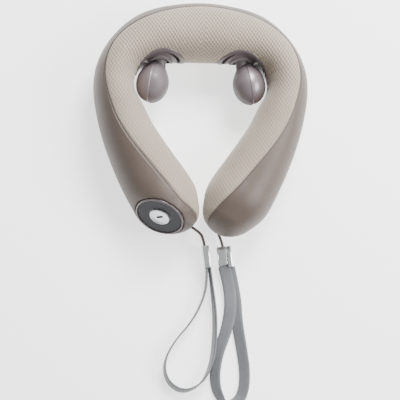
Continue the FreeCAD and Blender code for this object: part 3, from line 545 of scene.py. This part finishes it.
def tube_surface(rows, angle):
    """Points of the bare tube at an angle round each section, and the directions away from it there."""
    _, centre, across, width, height = [v.reshape(len(v), *[1] * (angle.ndim - 1), -1) for v in rows]
    width, height = width[..., 0], height[..., 0]
    out, up = np.cos(angle), np.sin(angle)
    points = [centre[..., k] + across[..., k] * (width * out) for k in (0, 1)] + [MID + height * up]
    normal = [across[..., k] * out * height for k in (0, 1)] + [up * width]
    return np.stack(points, axis=-1), unit(np.stack(normal, axis=-1))


def cover_grid(side, kind, rows, share):
    """The knitted or leather half-cover on one side as a grid of points."""
    at, width = rows[0], rows[3]
    columns = 84 if kind == "knit" else 64
    fraction = np.linspace(0, 1, columns)
    eased = fraction + 0.35 * (np.sin(2 * math.pi * fraction) / -(2 * math.pi))
    seam_angle = seam_turn(at, share)
    if kind == "knit":
        angle = seam_angle[:, None] + eased[None, :] * (2 * math.pi - 2 * seam_angle[:, None])
    else:
        angle = -seam_angle[:, None] + eased[None, :] * 2 * seam_angle[:, None]
    points, normal = tube_surface(rows, angle)
    step = np.linalg.norm(np.diff(points, axis=1), axis=2)
    arc = np.concatenate([np.zeros((len(at), 1)), np.cumsum(step, axis=1)], axis=1)
    edge = np.minimum(arc, arc[:, -1:] - arc)
    # The cover dips into its seam, swells beside it and is pinched at each stitch.
    stitch = np.sin(2 * math.pi * at / STITCH_PITCH)[:, None]
    if kind == "knit":
        lift = 1.0 * (1 - np.exp(-edge / 1.3)) * np.exp(-edge / 26) - 0.9 * np.exp(-((edge / 0.9) ** 2))
        lift += 0.10 * stitch * np.exp(-(((edge - 2.0) / 2.2) ** 2))
    else:
        lift = -0.9 * np.exp(-((edge / 0.9) ** 2)) + 0.15 * np.exp(-(((edge - 2.2) / 1.2) ** 2))
    fade = np.clip(width / 14.0, 0, 1)[:, None]
    slack = 1.0 if kind == "knit" else 0.35
    lift = lift * fade + unevenness(points) * fade * (1 - np.exp(-edge / 6)) * slack
    if kind == "knit":
        # Slight creases on the inner side, where the tube bends most.
        inner = np.exp(-(((np.abs(angle - math.pi)) / 0.9) ** 2))
        bend = np.exp(-(((at - 92.0) / 30.0) ** 2))[:, None]
        lift += 0.30 * inner * bend * np.sin(2 * math.pi * at / 9.0 + 0.4 * np.sin(at / 5))[:, None]
    points = points + normal * lift[..., None]
    # The underside is eased onto the floor.
    low = points[..., 2]
    points[..., 2] = np.where(low < 6, 0.5 * (low + np.sqrt(low**2 + 1.4)), low)
    points[..., 0] *= side
    top = np.argmin(np.abs(np.mod(angle, 2 * math.pi) - math.pi / 2), axis=1)
    from_crest = arc - np.take_along_axis(arc, top[:, None], axis=1)
    if kind == "knit":
        inner = np.argmin(np.abs(angle - math.pi), axis=1)
        turn_back = np.take_along_axis(from_crest, inner[:, None], axis=1)
        drape = -(turn_back - np.abs(from_crest - turn_back))
    else:
        drape = -from_crest
    return points, drape


def cover_mesh(side, kind, rows, share):
    """Points, faces and cloth coordinates of a half-cover; the cloth lies flat over the crest."""
    points, drape = cover_grid(side, kind, rows, share)
    count_rows, columns = points.shape[:2]
    if kind == "knit":
        count_rows = int(np.sum(rows[0] < KNIT_END)) + 1
    faces = grid_faces(count_rows, columns)
    if side > 0:
        faces = [f[::-1] for f in faces]
    _, centre, across, _, _ = rows
    cloth = centre[:, None] + across[:, None] * drape[..., None]
    return points.reshape(-1, 3), faces, cloth.reshape(-1, 2) * [side, 1]


ROWS = right_rows()
SHARE = seam_share(ROWS[1], ROWS[2], ROWS[3])
CUT_RADIUS = 24.7
CUT_FRONT, CUT_BACK = 38, 78
EDGE_TUCK = 1.0


def open_sockets(flat, faces, side):
    """Opens the cover in front of a head's socket and tucks the edge that is left under the rim."""
    beside = flat[:, [0, 2]] - [side * HEAD_AXIS_X, MID]
    reach = np.linalg.norm(beside, axis=1)
    front = (flat[:, 1] > CUT_FRONT) & (flat[:, 1] < CUT_BACK)
    inside = (reach < CUT_RADIUS) & front
    kept = [f for f in faces if not all(inside[list(f)])]
    edge = np.zeros(len(flat), bool)
    for f in kept:
        if any(inside[list(f)]):
            for v in f:
                edge[v] |= inside[v]
    moved = flat.copy()
    moved[edge, 0] = side * HEAD_AXIS_X + beside[edge, 0] / reach[edge] * CUT_RADIUS
    moved[edge, 2] = MID + beside[edge, 1] / reach[edge] * CUT_RADIUS
    moved[edge, 1] += EDGE_TUCK
    return moved, kept


def tidy(flat, faces, uv):
    """Leaves out the points that no face uses."""
    used = np.zeros(len(flat), bool)
    used[np.unique(np.array(faces).ravel())] = True
    index = np.cumsum(used) - 1
    return flat[used], [tuple(index[list(f)]) for f in faces], uv[used]


PANEL_OPENING = 26.6
PANEL_REACH = 46.0
PANEL_LEVEL = -0.15
EDGE_BELOW = 1.3
# How far under the panel the leather is taken away, and how deep its drawing to the ring goes and fades.
OPEN_DEPTH, SETTLE_DEPTH, SETTLE_FADE = 14, 24, 12


def round_panel(points):
    """Height over the panel's plane, distance from its axis and the direction away from it."""
    offset = points - np.array(PANEL_CENTRE)
    height = offset @ np.array(PANEL_NORMAL)
    radial = offset - np.outer(height, np.array(PANEL_NORMAL))
    reach = np.linalg.norm(radial, axis=1)
    return height, reach, radial / np.maximum(reach, 1e-6)[:, None]


def settle(flat):
    """Draws the cover up or down to meet the panel's ring all round."""
    height, reach, away = round_panel(flat)
    normal = np.array(PANEL_NORMAL)
    near = np.nonzero((reach > 0.5) & (reach < PANEL_REACH) & (height > -SETTLE_DEPTH))[0]
    moved = flat.copy()
    for i in near:
        start = Vector(np.array(PANEL_CENTRE) + away[i] * PANEL_OPENING + normal * 22)
        hit = panel_tree.ray_cast(start, Vector(-normal), 50)
        if not hit[0]:
            continue
        gap = PANEL_LEVEL - (Vector(hit[0]) - PANEL_CENTRE).dot(PANEL_NORMAL)
        share = min(1.0, max(0.0, (PANEL_REACH - reach[i]) / (PANEL_REACH - PANEL_OPENING)))
        depth = min(1.0, max(0.0, (height[i] + SETTLE_DEPTH) / SETTLE_FADE))
        moved[i] += normal * gap * share * share * (3 - 2 * share) * depth
    return moved


def open_panel(flat, faces):
    """Takes the leather away under the panel and rounds the edge that is left."""
    height, reach, away = round_panel(flat)
    inside = (reach < PANEL_OPENING) & (height > -OPEN_DEPTH)
    kept = [f for f in faces if not all(inside[list(f)])]
    edge = np.zeros(len(flat), bool)
    for f in kept:
        for v in f:
            edge[v] |= inside[v]
    moved = flat.copy()
    level = np.array(PANEL_NORMAL) * (PANEL_LEVEL - EDGE_BELOW)
    moved[edge] = np.array(PANEL_CENTRE) + away[edge] * PANEL_OPENING + level
    return moved, kept


surface_trees = {}
covers = []
panel_side = cover_mesh(-1, "leather", ROWS, SHARE)
panel_tree = BVHTree.FromPolygons([Vector(p) for p in panel_side[0]], panel_side[1])
for side, word in ((-1, "left"), (1, "right")):
    for kind, material in (("knit", KNIT), ("leather", LEATHER)):
        flat, faces, uv = cover_mesh(side, kind, ROWS, SHARE)
        if kind == "knit":
            surface_trees[side] = BVHTree.FromPolygons([Vector(p) for p in flat], faces)
            flat, faces, uv = tidy(*open_sockets(flat, faces, side), uv)
        if side < 0:
            flat = settle(flat)
        if kind == "leather" and side < 0:
            flat, faces, uv = tidy(*open_panel(flat, faces), uv)
        if kind == "leather" and side > 0:
            leather_right = BVHTree.FromPolygons([Vector(p) for p in flat], faces)
        item = new_object(f"cover_{kind}_{word}", flat, faces, material, uv=uv)
        covers.append((item, kind, word))


RAY_FROM, SURFACE_GUESS = 34.0, 60.0


def surface_y(x, z):
    """How far back the padded surface is, seen from the opening for the neck."""
    side = -1 if x < 0 else 1
    hit = surface_trees[side].ray_cast(Vector((x, RAY_FROM, z)), Vector((0, 1, 0)))
    return hit[0].y if hit[0] else SURFACE_GUESS


def bend_at_hinge(item):
    """Bakes a piece's placement into its mesh."""
    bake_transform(item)


for item, kind, word in covers:
    side = -1 if word == "left" else 1
    if kind == "knit":
        stands_for = [f"mesh_arm_{word}", f"foam_arm_{word}"]
        if word == "left":
            stands_for += ["mesh_rear", "foam_rear"]
    else:
        stands_for = [f"leather_arm_{word}"]
        if word == "left":
            stands_for += ["leather_rear"]
    bend_at_hinge(item)
    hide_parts(*stands_for)

THREAD_RADIUS, THREAD_DEPTH = 0.45, 0.75


def seam_thread(side, word):
    """The sewn threads that lie in the upper and the lower seam on one side."""
    at = ROWS[0]
    for index, sign in ((0, 1), (1, -1)):
        points, normal = tube_surface(ROWS, sign * seam_turn(at, SHARE))
        line = (points - normal * THREAD_DEPTH) * [side, 1, 1]
        line[:, 2] = np.maximum(line[:, 2], THREAD_RADIUS + 0.15)
        if side < 0:
            line = settle(line)
        item = tube_mesh(f"seam_thread_{word}_{index}", line[at < KNIT_END], THREAD_RADIUS, 6, PIPING)
        bend_at_hinge(item)


for side, word in ((-1, "left"), (1, "right")):
    seam_thread(side, word)

# ---------------------------------------------------------------- bezels round the sockets

BEZEL_PROFILE = [
    (26.0, -1.6),
    (25.9, 0.2),
    (25.4, 0.9),
    (24.6, 1.2),
    (23.9, 0.95),
    (23.65, 0.25),
    (23.45, 0.15),
    (23.2, 0.55),
    (22.7, 0.75),
    (22.2, 0.45),
    (22.0, -0.4),
    (21.9, -3.2),
]


def bezel(side, word):
    """The rim round a socket: its profile is radius and height over the padded surface."""
    turn = np.linspace(0, 2 * math.pi, 120, endpoint=False)
    points = []
    for a in turn:
        for radius, height in BEZEL_PROFILE:
            x = side * HEAD_AXIS_X + radius * math.cos(a)
            z = MID + radius * math.sin(a)
            points.append((x, surface_y(x, z) - height, z))
    count = len(BEZEL_PROFILE)
    faces = []
    for i in range(len(turn)):
        k = (i + 1) % len(turn)
        for j in range(count - 1):
            faces.append((i * count + j, i * count + j + 1, k * count + j + 1, k * count + j))
    item = new_object(f"bezel_rim_{word}", points, faces, MAUVE, crease=50)
    belongs(item, "rear", "bezel_plastic", f"bezel_{word}")


for side, word in ((-1, "left"), (1, "right")):
    bezel(side, word)

# ---------------------------------------------------------------- kneading heads

LEAN = math.radians(11.0)
HEAD_HALF, HEAD_RADIUS = 21.0, 17.3


def head_frame(side):
    """A head's centre, its own axis towards the neck, and the directions outward and up."""
    centre = np.array([side * (HEAD_AXIS_X + 7.9), 37.6, MID])
    axis = np.array([-side * math.sin(LEAN), math.cos(LEAN), 0.0])
    outward = np.array([side * math.cos(LEAN), math.sin(LEAN), 0.0])
    up = np.array([0.0, 0.0, 1.0])
    return centre, axis, outward, up


def egg(side, polar, turn, grow):
    """Points of the egg: polar from the tip (0) to the neck (pi), turn from outward towards up."""
    centre, axis, outward, up = head_frame(side)
    radial = np.cos(turn)[..., None] * outward + np.sin(turn)[..., None] * up
    length = -np.cos(polar) * (HEAD_HALF + grow)
    length = length + 2.6 * np.maximum(0, (-np.cos(polar) - 0.5) / 0.5) ** 1.7
    taper = 1 - 0.05 * (1 - np.cos(polar)) / 2
    reach = np.sin(polar) * taper * (HEAD_RADIUS + grow)
    return centre + axis * length[..., None] + radial * reach[..., None]


GORE_EDGE = {"left": 80.0, "right": 94.0}
GORE_HALF = 44.0


def head(side, word):
    """A ribbed egg on its neck, with two glossy inserts that stand a little proud of it."""
    turn = np.linspace(0, 2 * math.pi, 120, endpoint=False)
    polar = np.linspace(0.02, math.pi - 0.12, 100)
    ridges = 0.30 * np.cos(5.2 * (polar - 0.55)) * np.sin(polar) ** 2
    grow = (ridges - 0.25)[:, None] + 0 * turn[None, :]
    points = egg(side, polar[:, None] + 0 * turn[None, :], turn[None, :] + 0 * polar[:, None], grow)
    faces = grid_faces(len(polar), len(turn), wrap=True)
    faces.append(tuple(range(len(turn))))
    core = new_object(f"head_{word}", points.reshape(-1, 3), faces, HEAD)
    neck = lathe(
        f"head_neck_{word}",
        [(9.0, 0.0), (8.6, 2.2), (7.4, 4.2), (6.2, 7.0), (5.8, 11.0), (5.9, 14.0), (6.4, 17.0)],
        Vector((side * HEAD_AXIS_X, 66.0, MID)),
        Vector((0, -1, 0)),
        HEAD,
    )
    belongs(core, f"{word}_head", "head_core", f"head_core_{word}")
    belongs(neck, f"{word}_head", "head_core")
    half = math.radians(GORE_HALF)
    last = math.radians(GORE_EDGE[word])
    across, length = np.linspace(-1, 1, 60), np.linspace(0, 1, 90)
    start, stop = 0.06, math.pi - 0.34
    polar = start + (stop - start) * length
    for index in range(2):
        middle = last - half + math.pi * index
        turn = middle + across[None, :] * half + 0 * polar[:, None]
        beside = (1 - np.abs(across))[None, :] * half * np.sin(polar)[:, None] * HEAD_RADIUS
        ends = np.minimum(length, 1 - length)[:, None] * 60
        rim = np.minimum(beside, ends)
        grow = 0.32 - 1.6 * np.exp(-np.maximum(rim, 0) / 0.28)
        faces = grid_faces(len(length), len(across))
        if side > 0:
            faces = [f[::-1] for f in faces]
        points = egg(side, polar[:, None] + 0 * turn, turn, grow)
        gore = new_object(f"head_gore_{word}_{index}", points.reshape(-1, 3), faces, GLOSS)
        belongs(gore, f"{word}_head", "head_gloss", *([] if index else [f"head_gores_{word}"]))


for side, word in ((-1, "left"), (1, "right")):
    head(side, word)

# ---------------------------------------------------------------- control panel

E_ONE = Vector((0, 0, 1)).cross(PANEL_NORMAL).normalized()
E_TWO = PANEL_NORMAL.cross(E_ONE)


def panel_point(first, second, height):
    """A point from its place on the panel's face and its height over it."""
    return PANEL_CENTRE + E_ONE * first + E_TWO * second + PANEL_NORMAL * height


ring = lathe(
    "panel_rim",
    [
        (25.9, -12.0),
        (25.9, -0.5),
        (25.75, 0.2),
        (25.3, 0.7),
        (24.7, 0.85),
        (24.2, 0.7),
        (23.95, 0.3),
        (23.85, -0.3),
        (23.8, -1.2),
        (23.2, -1.5),
    ],
    PANEL_CENTRE,
    PANEL_NORMAL,
    MAUVE,
)
face = lathe(
    "panel_plate",
    [
        (23.6, -3.0),
        (23.6, -0.5),
        (23.2, -0.2),
        (22.3, -0.15),
        (13.6, -0.9),
        (12.6, -0.8),
        (11.9, -0.85),
        (11.55, -1.2),
        (11.5, -5.0),
    ],
    PANEL_CENTRE,
    PANEL_NORMAL,
    DARK,
)
button = lathe(
    "button_cap",
    [
        (10.6, -4.0),
        (10.6, 0.25),
        (10.45, 0.65),
        (10.1, 0.88),
        (9.6, 0.9),
        (9.2, 0.75),
        (8.6, 0.45),
        (5.0, 0.15),
        (0.05, 0.05),
    ],
    PANEL_CENTRE,
    PANEL_NORMAL,
    SPUN,
)
belongs(ring, "left_arm", "bezel_plastic", "panel_ring")
belongs(face, "left_arm", "panel_dark", "panel_face")
belongs(button, "button", "button_metal", "power_button")


def print_mark(name, outline, place, angle, height, material, body):
    """A flat mark: outline points are turned by an angle about the panel's axis."""
    points, count = [], len(outline)
    for level in (height - 0.15, height + 0.06):
        for x, y in outline:
            first = place[0] + x * math.cos(angle) - y * math.sin(angle)
            second = place[1] + x * math.sin(angle) + y * math.cos(angle)
            points.append(panel_point(first, second, level))
    faces = [tuple(range(count))[::-1], tuple(range(count, 2 * count))]
    faces += [(i, (i + 1) % count, count + (i + 1) % count, count + i) for i in range(count)]
    item = new_object(name, [tuple(p) for p in points], faces, material, smooth=False)
    belongs(item, body, "switch_black")


def stadium(length, width):
    """The outline of a bar with round ends."""
    half, radius = (length - width) / 2, width / 2
    turns = np.linspace(-math.pi / 2, math.pi / 2, 9)
    right = [(half + radius * math.cos(a), radius * math.sin(a)) for a in turns]
    left = [(-x, -y) for x, y in right]
    return right + left


print_mark("button_mark", stadium(8.0, 2.9), (0.3, 0.0), math.radians(49), 0.22, SLIT, "button")
# Three plain signs, each of two or three bars: the place of a sign, then the shift and length of its bars.
for index, (place, bars) in enumerate(
    [
        ((-13.4, 8.1), [(-0.9, 2.2), (0.0, 2.8), (0.9, 2.2)]),
        ((10.3, 12.3), [(-0.7, 1.6), (0.7, 2.6)]),
        ((12.2, -8.4), [(-0.6, 2.6), (0.6, 1.6)]),
    ]
):
    away = math.hypot(*place)
    level = -0.15 - (22.3 - away) / 8.7 * 0.75 + 0.03
    for number, (shift, length) in enumerate(bars):
        spot = (place[0] + shift * 0.94, place[1] + shift * 0.34)
        bar = stadium(length, 0.55)
        print_mark(f"icon_{index}_{number}", bar, spot, math.radians(96), level, INK, "left_arm")

# ---------------------------------------------------------------- charging port

PORT_PLACE = Vector((75.4, -86.4, 26.0))
PORT_FACING = Vector((0.90, -0.43, 0.0)).normalized()


def port():
    """A small oval socket in the leather on the outer side of the right arm."""
    tall, wide = Vector((0, 0, 1)), PORT_FACING.cross(Vector((0, 0, 1))).normalized()
    hit = leather_right.ray_cast(PORT_PLACE + PORT_FACING * 20, -PORT_FACING, 60)
    face = hit[0] - PORT_FACING * 0.1
    levels = [
        (6.2, 2.9, -2.5),
        (6.2, 2.9, 0.35),
        (5.9, 2.6, 0.7),
        (5.3, 2.0, 0.7),
        (5.0, 1.75, 0.3),
        (5.0, 1.75, -2.2),
    ]
    points, count = [], 0
    for half_wide, half_tall, out in levels:
        outline = stadium(half_wide * 2, half_tall * 2)
        count = len(outline)
        points += [tuple(face + wide * x + tall * y + PORT_FACING * out) for x, y in outline]
    faces = grid_faces(len(levels), count, wrap=True)
    rim = new_object("port_rim", points, faces, MAUVE, crease=40)
    tongue_levels = [(3.4, 0.45, -2.2), (3.4, 0.45, -0.6), (3.2, 0.3, -0.45)]
    back = [tuple(face + wide * x + tall * y - PORT_FACING * 2.0) for x, y in stadium(10.0, 3.5)]
    points = list(back)
    faces = [tuple(range(count))]
    for half_wide, half_tall, out in tongue_levels:
        outline = stadium(half_wide * 2, half_tall * 2)
        points += [tuple(face + wide * x + tall * y + PORT_FACING * out) for x, y in outline]
    for level in range(1, len(tongue_levels)):
        for i in range(count):
            k = (i + 1) % count
            first, second = count * level, count * (level + 1)
            faces.append((first + i, first + k, second + k, second + i))
    faces.append(tuple(range(3 * count, 4 * count)))
    tongue = new_object("port_tongue", points, faces, SLIT, smooth=False)
    belongs(rim, "right_arm", "bezel_plastic", "charge_port")
    belongs(tongue, "right_arm", "switch_black")


port()

# ---------------------------------------------------------------- cords, clips and straps


def route_curve(name, points):
    """A smooth curve whose control points are the corners of a route in millimetres."""
    curve = bpy.data.curves.new(name, "CURVE")
    curve.dimensions = "3D"
    curve.resolution_u = 16
    path = curve.splines.new("NURBS")
    path.points.add(len(points) - 1)
    for spot, point in zip(path.points, points):
        spot.co = (*[c * MM for c in point], 1.0)
    path.order_u = 3
    path.use_endpoint_u = True
    return curve


def route_line(points, count):
    """Even points in millimetres along the curve of a route, and its length."""
    curve = route_curve("route", points)
    item = bpy.data.objects.new("route", curve)
    mesh = bpy.data.meshes.new_from_object(item)
    fine = np.array([v.co for v in mesh.vertices]) / MM
    bpy.data.objects.remove(item)
    bpy.data.curves.remove(curve)
    bpy.data.meshes.remove(mesh)
    run = np.concatenate([[0], np.cumsum(np.linalg.norm(np.diff(fine, axis=0), axis=1))])
    even = np.linspace(0, run[-1], count)
    return np.stack([np.interp(even, run, fine[:, k]) for k in range(3)], axis=1), float(run[-1])


def ribbon(name, line, wide, thickness, width, material):
    """A flat woven band: wide is the direction of its width at each point of its line."""
    ahead = unit(np.gradient(line, axis=0))
    wide = unit(wide - ahead * np.sum(wide * ahead, axis=1)[:, None])
    thin = np.cross(ahead, wide)
    half, deep, soft = width / 2, thickness / 2, thickness * 0.32
    outline = [
        (half, -deep + soft),
        (half, deep - soft),
        (half - soft, deep),
        (half * 0.5, deep),
        (0.0, deep),
        (-half * 0.5, deep),
        (-half + soft, deep),
    ]
    outline += [(-a, -b) for a, b in outline]
    points = np.stack([line + wide * a + thin * b for a, b in outline], axis=1)
    run = np.concatenate([[0], np.cumsum(np.linalg.norm(np.diff(line, axis=0), axis=1))])
    count = len(outline)
    faces = grid_faces(len(line), count, wrap=True)
    faces += [tuple(range(count))[::-1], tuple(range((len(line) - 1) * count, len(line) * count))]
    uv = np.array([(s, a) for s in run for a, _ in outline])
    return new_object(name, points.reshape(-1, 3), faces, material, uv=uv, crease=60)


STRAP_WIDTH, STRAP_THICKNESS = 13.0, 1.8
CORD_DIAMETER = 3.0
CLIP_SHEET = 0.9


def strap(name, plan, wides, heights, body, node):
    """A wrist strap: wides and heights are given at even steps along it."""
    flat, _ = route_line([(x, y, 0.0) for x, y in plan], 220)
    where = np.linspace(0, 1, len(flat))
    steps = np.linspace(0, 1, len(wides))
    lean = np.stack([np.interp(where, steps, np.array(wides, float)[:, k]) for k in range(3)], axis=1)
    kernel = np.hanning(31) / np.hanning(31).sum()
    padded = [np.pad(lean[:, k], 15, mode="edge") for k in range(3)]
    lean = np.stack([np.convolve(column, kernel, "valid") for column in padded], axis=1)
    ahead = unit(np.gradient(flat, axis=0))
    wide = unit(lean - ahead * np.sum(lean * ahead, axis=1)[:, None])
    stands = np.abs(wide[:, 2])
    clear = 0.5 * (STRAP_WIDTH * stands + STRAP_THICKNESS * np.sqrt(1 - stands**2)) + 0.25
    line = flat.copy()
    line[:, 2] = clear + np.interp(where, np.linspace(0, 1, len(heights)), heights)
    item = ribbon(name, line, wide, STRAP_THICKNESS, STRAP_WIDTH, STRAP)
    run = float(np.linalg.norm(np.diff(line, axis=0), axis=1).sum())
    belongs(item, body, "strap_weave", node)
    return item, line, run


def cord_curve(name, points, body, node):
    """A round braided cord along a route."""
    curve = route_curve(name, points)
    curve.bevel_depth = CORD_DIAMETER / 2 * MM
    curve.bevel_resolution = 6
    curve.use_fill_caps = True
    curve.materials.append(BRAID)
    item = bpy.data.objects.new(name, curve)
    bpy.context.scene.collection.objects.link(item)
    belongs(item, body, "cord_weave", node)
    return item


def sheet_piece(name, profile, low, high, thickness, place, material):
    """Folded sheet metal: a bent line in cross-section, run from low to high along its length."""
    points = [(x, low, z) for x, z in profile] + [(x, high, z) for x, z in profile]
    count = len(profile)
    faces = [(i, i + 1, count + i + 1, count + i) for i in range(count - 1)]
    item = new_object(name, points, faces, material, crease=35)
    thick = item.modifiers.new("thick", "SOLIDIFY")
    thick.thickness = thickness * MM
    thick.offset = 0
    round_edge = item.modifiers.new("round", "BEVEL")
    round_edge.width = 0.22 * MM
    round_edge.segments = 2
    round_edge.limit_method = "ANGLE"
    item.matrix_world = place
    return item


def corner_arc(centre_x, centre_z, radius, start, stop):
    """The rounded corner of a folded profile."""
    turns = np.radians(np.linspace(start, stop, 6))
    return [(centre_x + radius * math.cos(t), centre_z + radius * math.sin(t)) for t in turns]


def clip(word, top, bottom, upright):
    """A crimp folded from one strip: back, both sides, a short front flap and a wing over its edge."""
    along = (bottom - top).normalized()
    length = (bottom - top).length
    side_way = Vector((along.y, -along.x, 0)) * -1
    high = Vector((0, 0, 1))
    wide, deep = (high, -side_way) if upright else (side_way, high)
    base = (top + bottom) / 2 + Vector((0, 0, 8.2 if upright else 4.2))
    axes = Matrix((wide, -along, deep)).transposed().to_4x4()
    place = Matrix.Translation(base * MM) @ axes
    half, rise, bend = 7.6, 3.3, 1.5
    front = [(2.2, rise - 0.2)] + corner_arc(-half + bend, rise - 0.2 - bend, bend, 90, 180)[:5]
    back = corner_arc(-half + bend, rise - 0.2 - bend, bend, 135, 180)
    back += corner_arc(-half + bend, -rise + bend, bend, 180, 270)
    back += corner_arc(half - bend, -rise + bend, bend, 270, 360)
    back += corner_arc(half - bend, rise + 0.3 - bend, bend, 0, 90) + [(2.7, rise + 0.45)]
    pieces = [
        sheet_piece(f"clip_flap_{word}", front, -length / 2 + 3.6, length / 2, CLIP_SHEET, place, CHROME),
        sheet_piece(f"clip_wrap_{word}", back, -length / 2, length / 2, CLIP_SHEET, place, CHROME),
    ]
    belongs(pieces[0], f"{word}_arm", "clip_metal")
    belongs(pieces[1], f"{word}_arm", "clip_metal", f"clip_{word}")
    return pieces


left_clip = clip("left", Vector((6.6, -131.0, 0)), Vector((9.2, -154.0, 0)), True)
right_clip = clip("right", Vector((26.4, -131.0, 0)), Vector((28.9, -153.0, 0)), False)
cord_left = cord_curve("wrist_cord_left", CORD_LEFT, "left_arm", "cord_left")
cord_right = cord_curve("wrist_cord_right", CORD_RIGHT, "right_arm", "cord_right")
strap_left, line_left, run_left = strap(
    "wrist_strap_left",
    STRAP_LEFT,
    [
        (0, 0, 1),
        (0.02, 0.05, 1),
        (0.03, 0.10, 1),
        (0.06, 0.24, 0.96),
        (0.16, 0.24, 0.95),
        (0.24, 0.05, 0.96),
        (0.2, 0, 0.97),
        (0.05, 0, 1),
    ],
    [1.2, 0.2, 0.0, 0.0, 0.0, 0.0, 0.2, 1.2],
    "left_arm",
    "strap_left",
)
strap_right, line_right, run_right = strap(
    "wrist_strap_right",
    STRAP_RIGHT,
    [
        (1, 0, 0.02),
        (0.95, -0.1, 0.25),
        (0.76, -0.3, 0.56),
        (0.72, -0.34, 0.6),
        (0.72, -0.34, 0.6),
        (0.8, -0.25, 0.5),
        (0.85, -0.2, 0.4),
        (1, 0, 0.02),
    ],
    [4.2, 2.5, 0.5, 0.0, 0.0, 0.0, 0.0, 1.8],
    "right_arm",
    "strap_right",
)
for item, points, clip_pieces in ((cord_left, CORD_LEFT, left_clip), (cord_right, CORD_RIGHT, right_clip)):
    route_line(points, 200)[1] * MM

# ---------------------------------------------------------------- floor, light and camera


def stage():
    """A pale floor, an even white surround and two soft lights."""
    floor = new_object(
        "floor",
        [(-3000, -3000, -0.3), (3000, -3000, -0.3), (3000, 3000, -0.3), (-3000, 3000, -0.3)],
        [(0, 1, 2, 3)],
        finish("floor_white", "#f6f6f6", 0.7, spread=0.01, mottle=2.0),
        smooth=False,
    )
    shader = floor.data.materials[0].node_tree.nodes["Principled BSDF"]
    shader.inputs["Emission Color"].default_value = (1, 1, 1, 1)
    shader.inputs["Emission Strength"].default_value = 1.5
    world = bpy.data.worlds.new("studio")
    bpy.context.scene.world = world
    world.use_nodes = True
    background = world.node_tree.nodes["Background"]
    background.inputs["Color"].default_value = (1, 1, 1, 1)
    background.inputs["Strength"].default_value = 0.55
    for name, place, width, power in (
        ("key", (0.3, 0.88, 1.0), 0.55, 40.0),
        ("side", (0.95, -0.05, 0.8), 0.6, 17.0),
    ):
        light = bpy.data.lights.new(name, "AREA")
        light.energy = power
        light.size = width
        lamp = bpy.data.objects.new(name, light)
        bpy.context.scene.collection.objects.link(lamp)
        lamp.location = place
        aim = Vector((0, -0.02, 0.03)) - lamp.location
        lamp.rotation_mode = "QUATERNION"
        lamp.rotation_quaternion = aim.to_track_quat("-Z", "Y")


CAMERA_DISTANCE = 1.385


def camera():
    """The photograph's view: nearly straight down, from a little to the left and in front."""
    data = bpy.data.cameras.new("camera")
    data.lens = 120
    item = bpy.data.objects.new("camera", data)
    bpy.context.scene.collection.objects.link(item)
    aim = Vector((-0.0008, -0.085, 0.03))
    away = Vector((-math.tan(math.radians(5.5)), -math.tan(math.radians(8.0)), 1.0)).normalized()
    right = Vector((0, 1, 0)).cross(away).normalized()
    turn = Matrix((right, away.cross(right), away)).transposed().to_4x4()
    item.matrix_world = Matrix.Translation(aim + away * CAMERA_DISTANCE) @ turn
    bpy.context.scene.camera = item


stage()
camera()
bpy.context.view_layer.update()
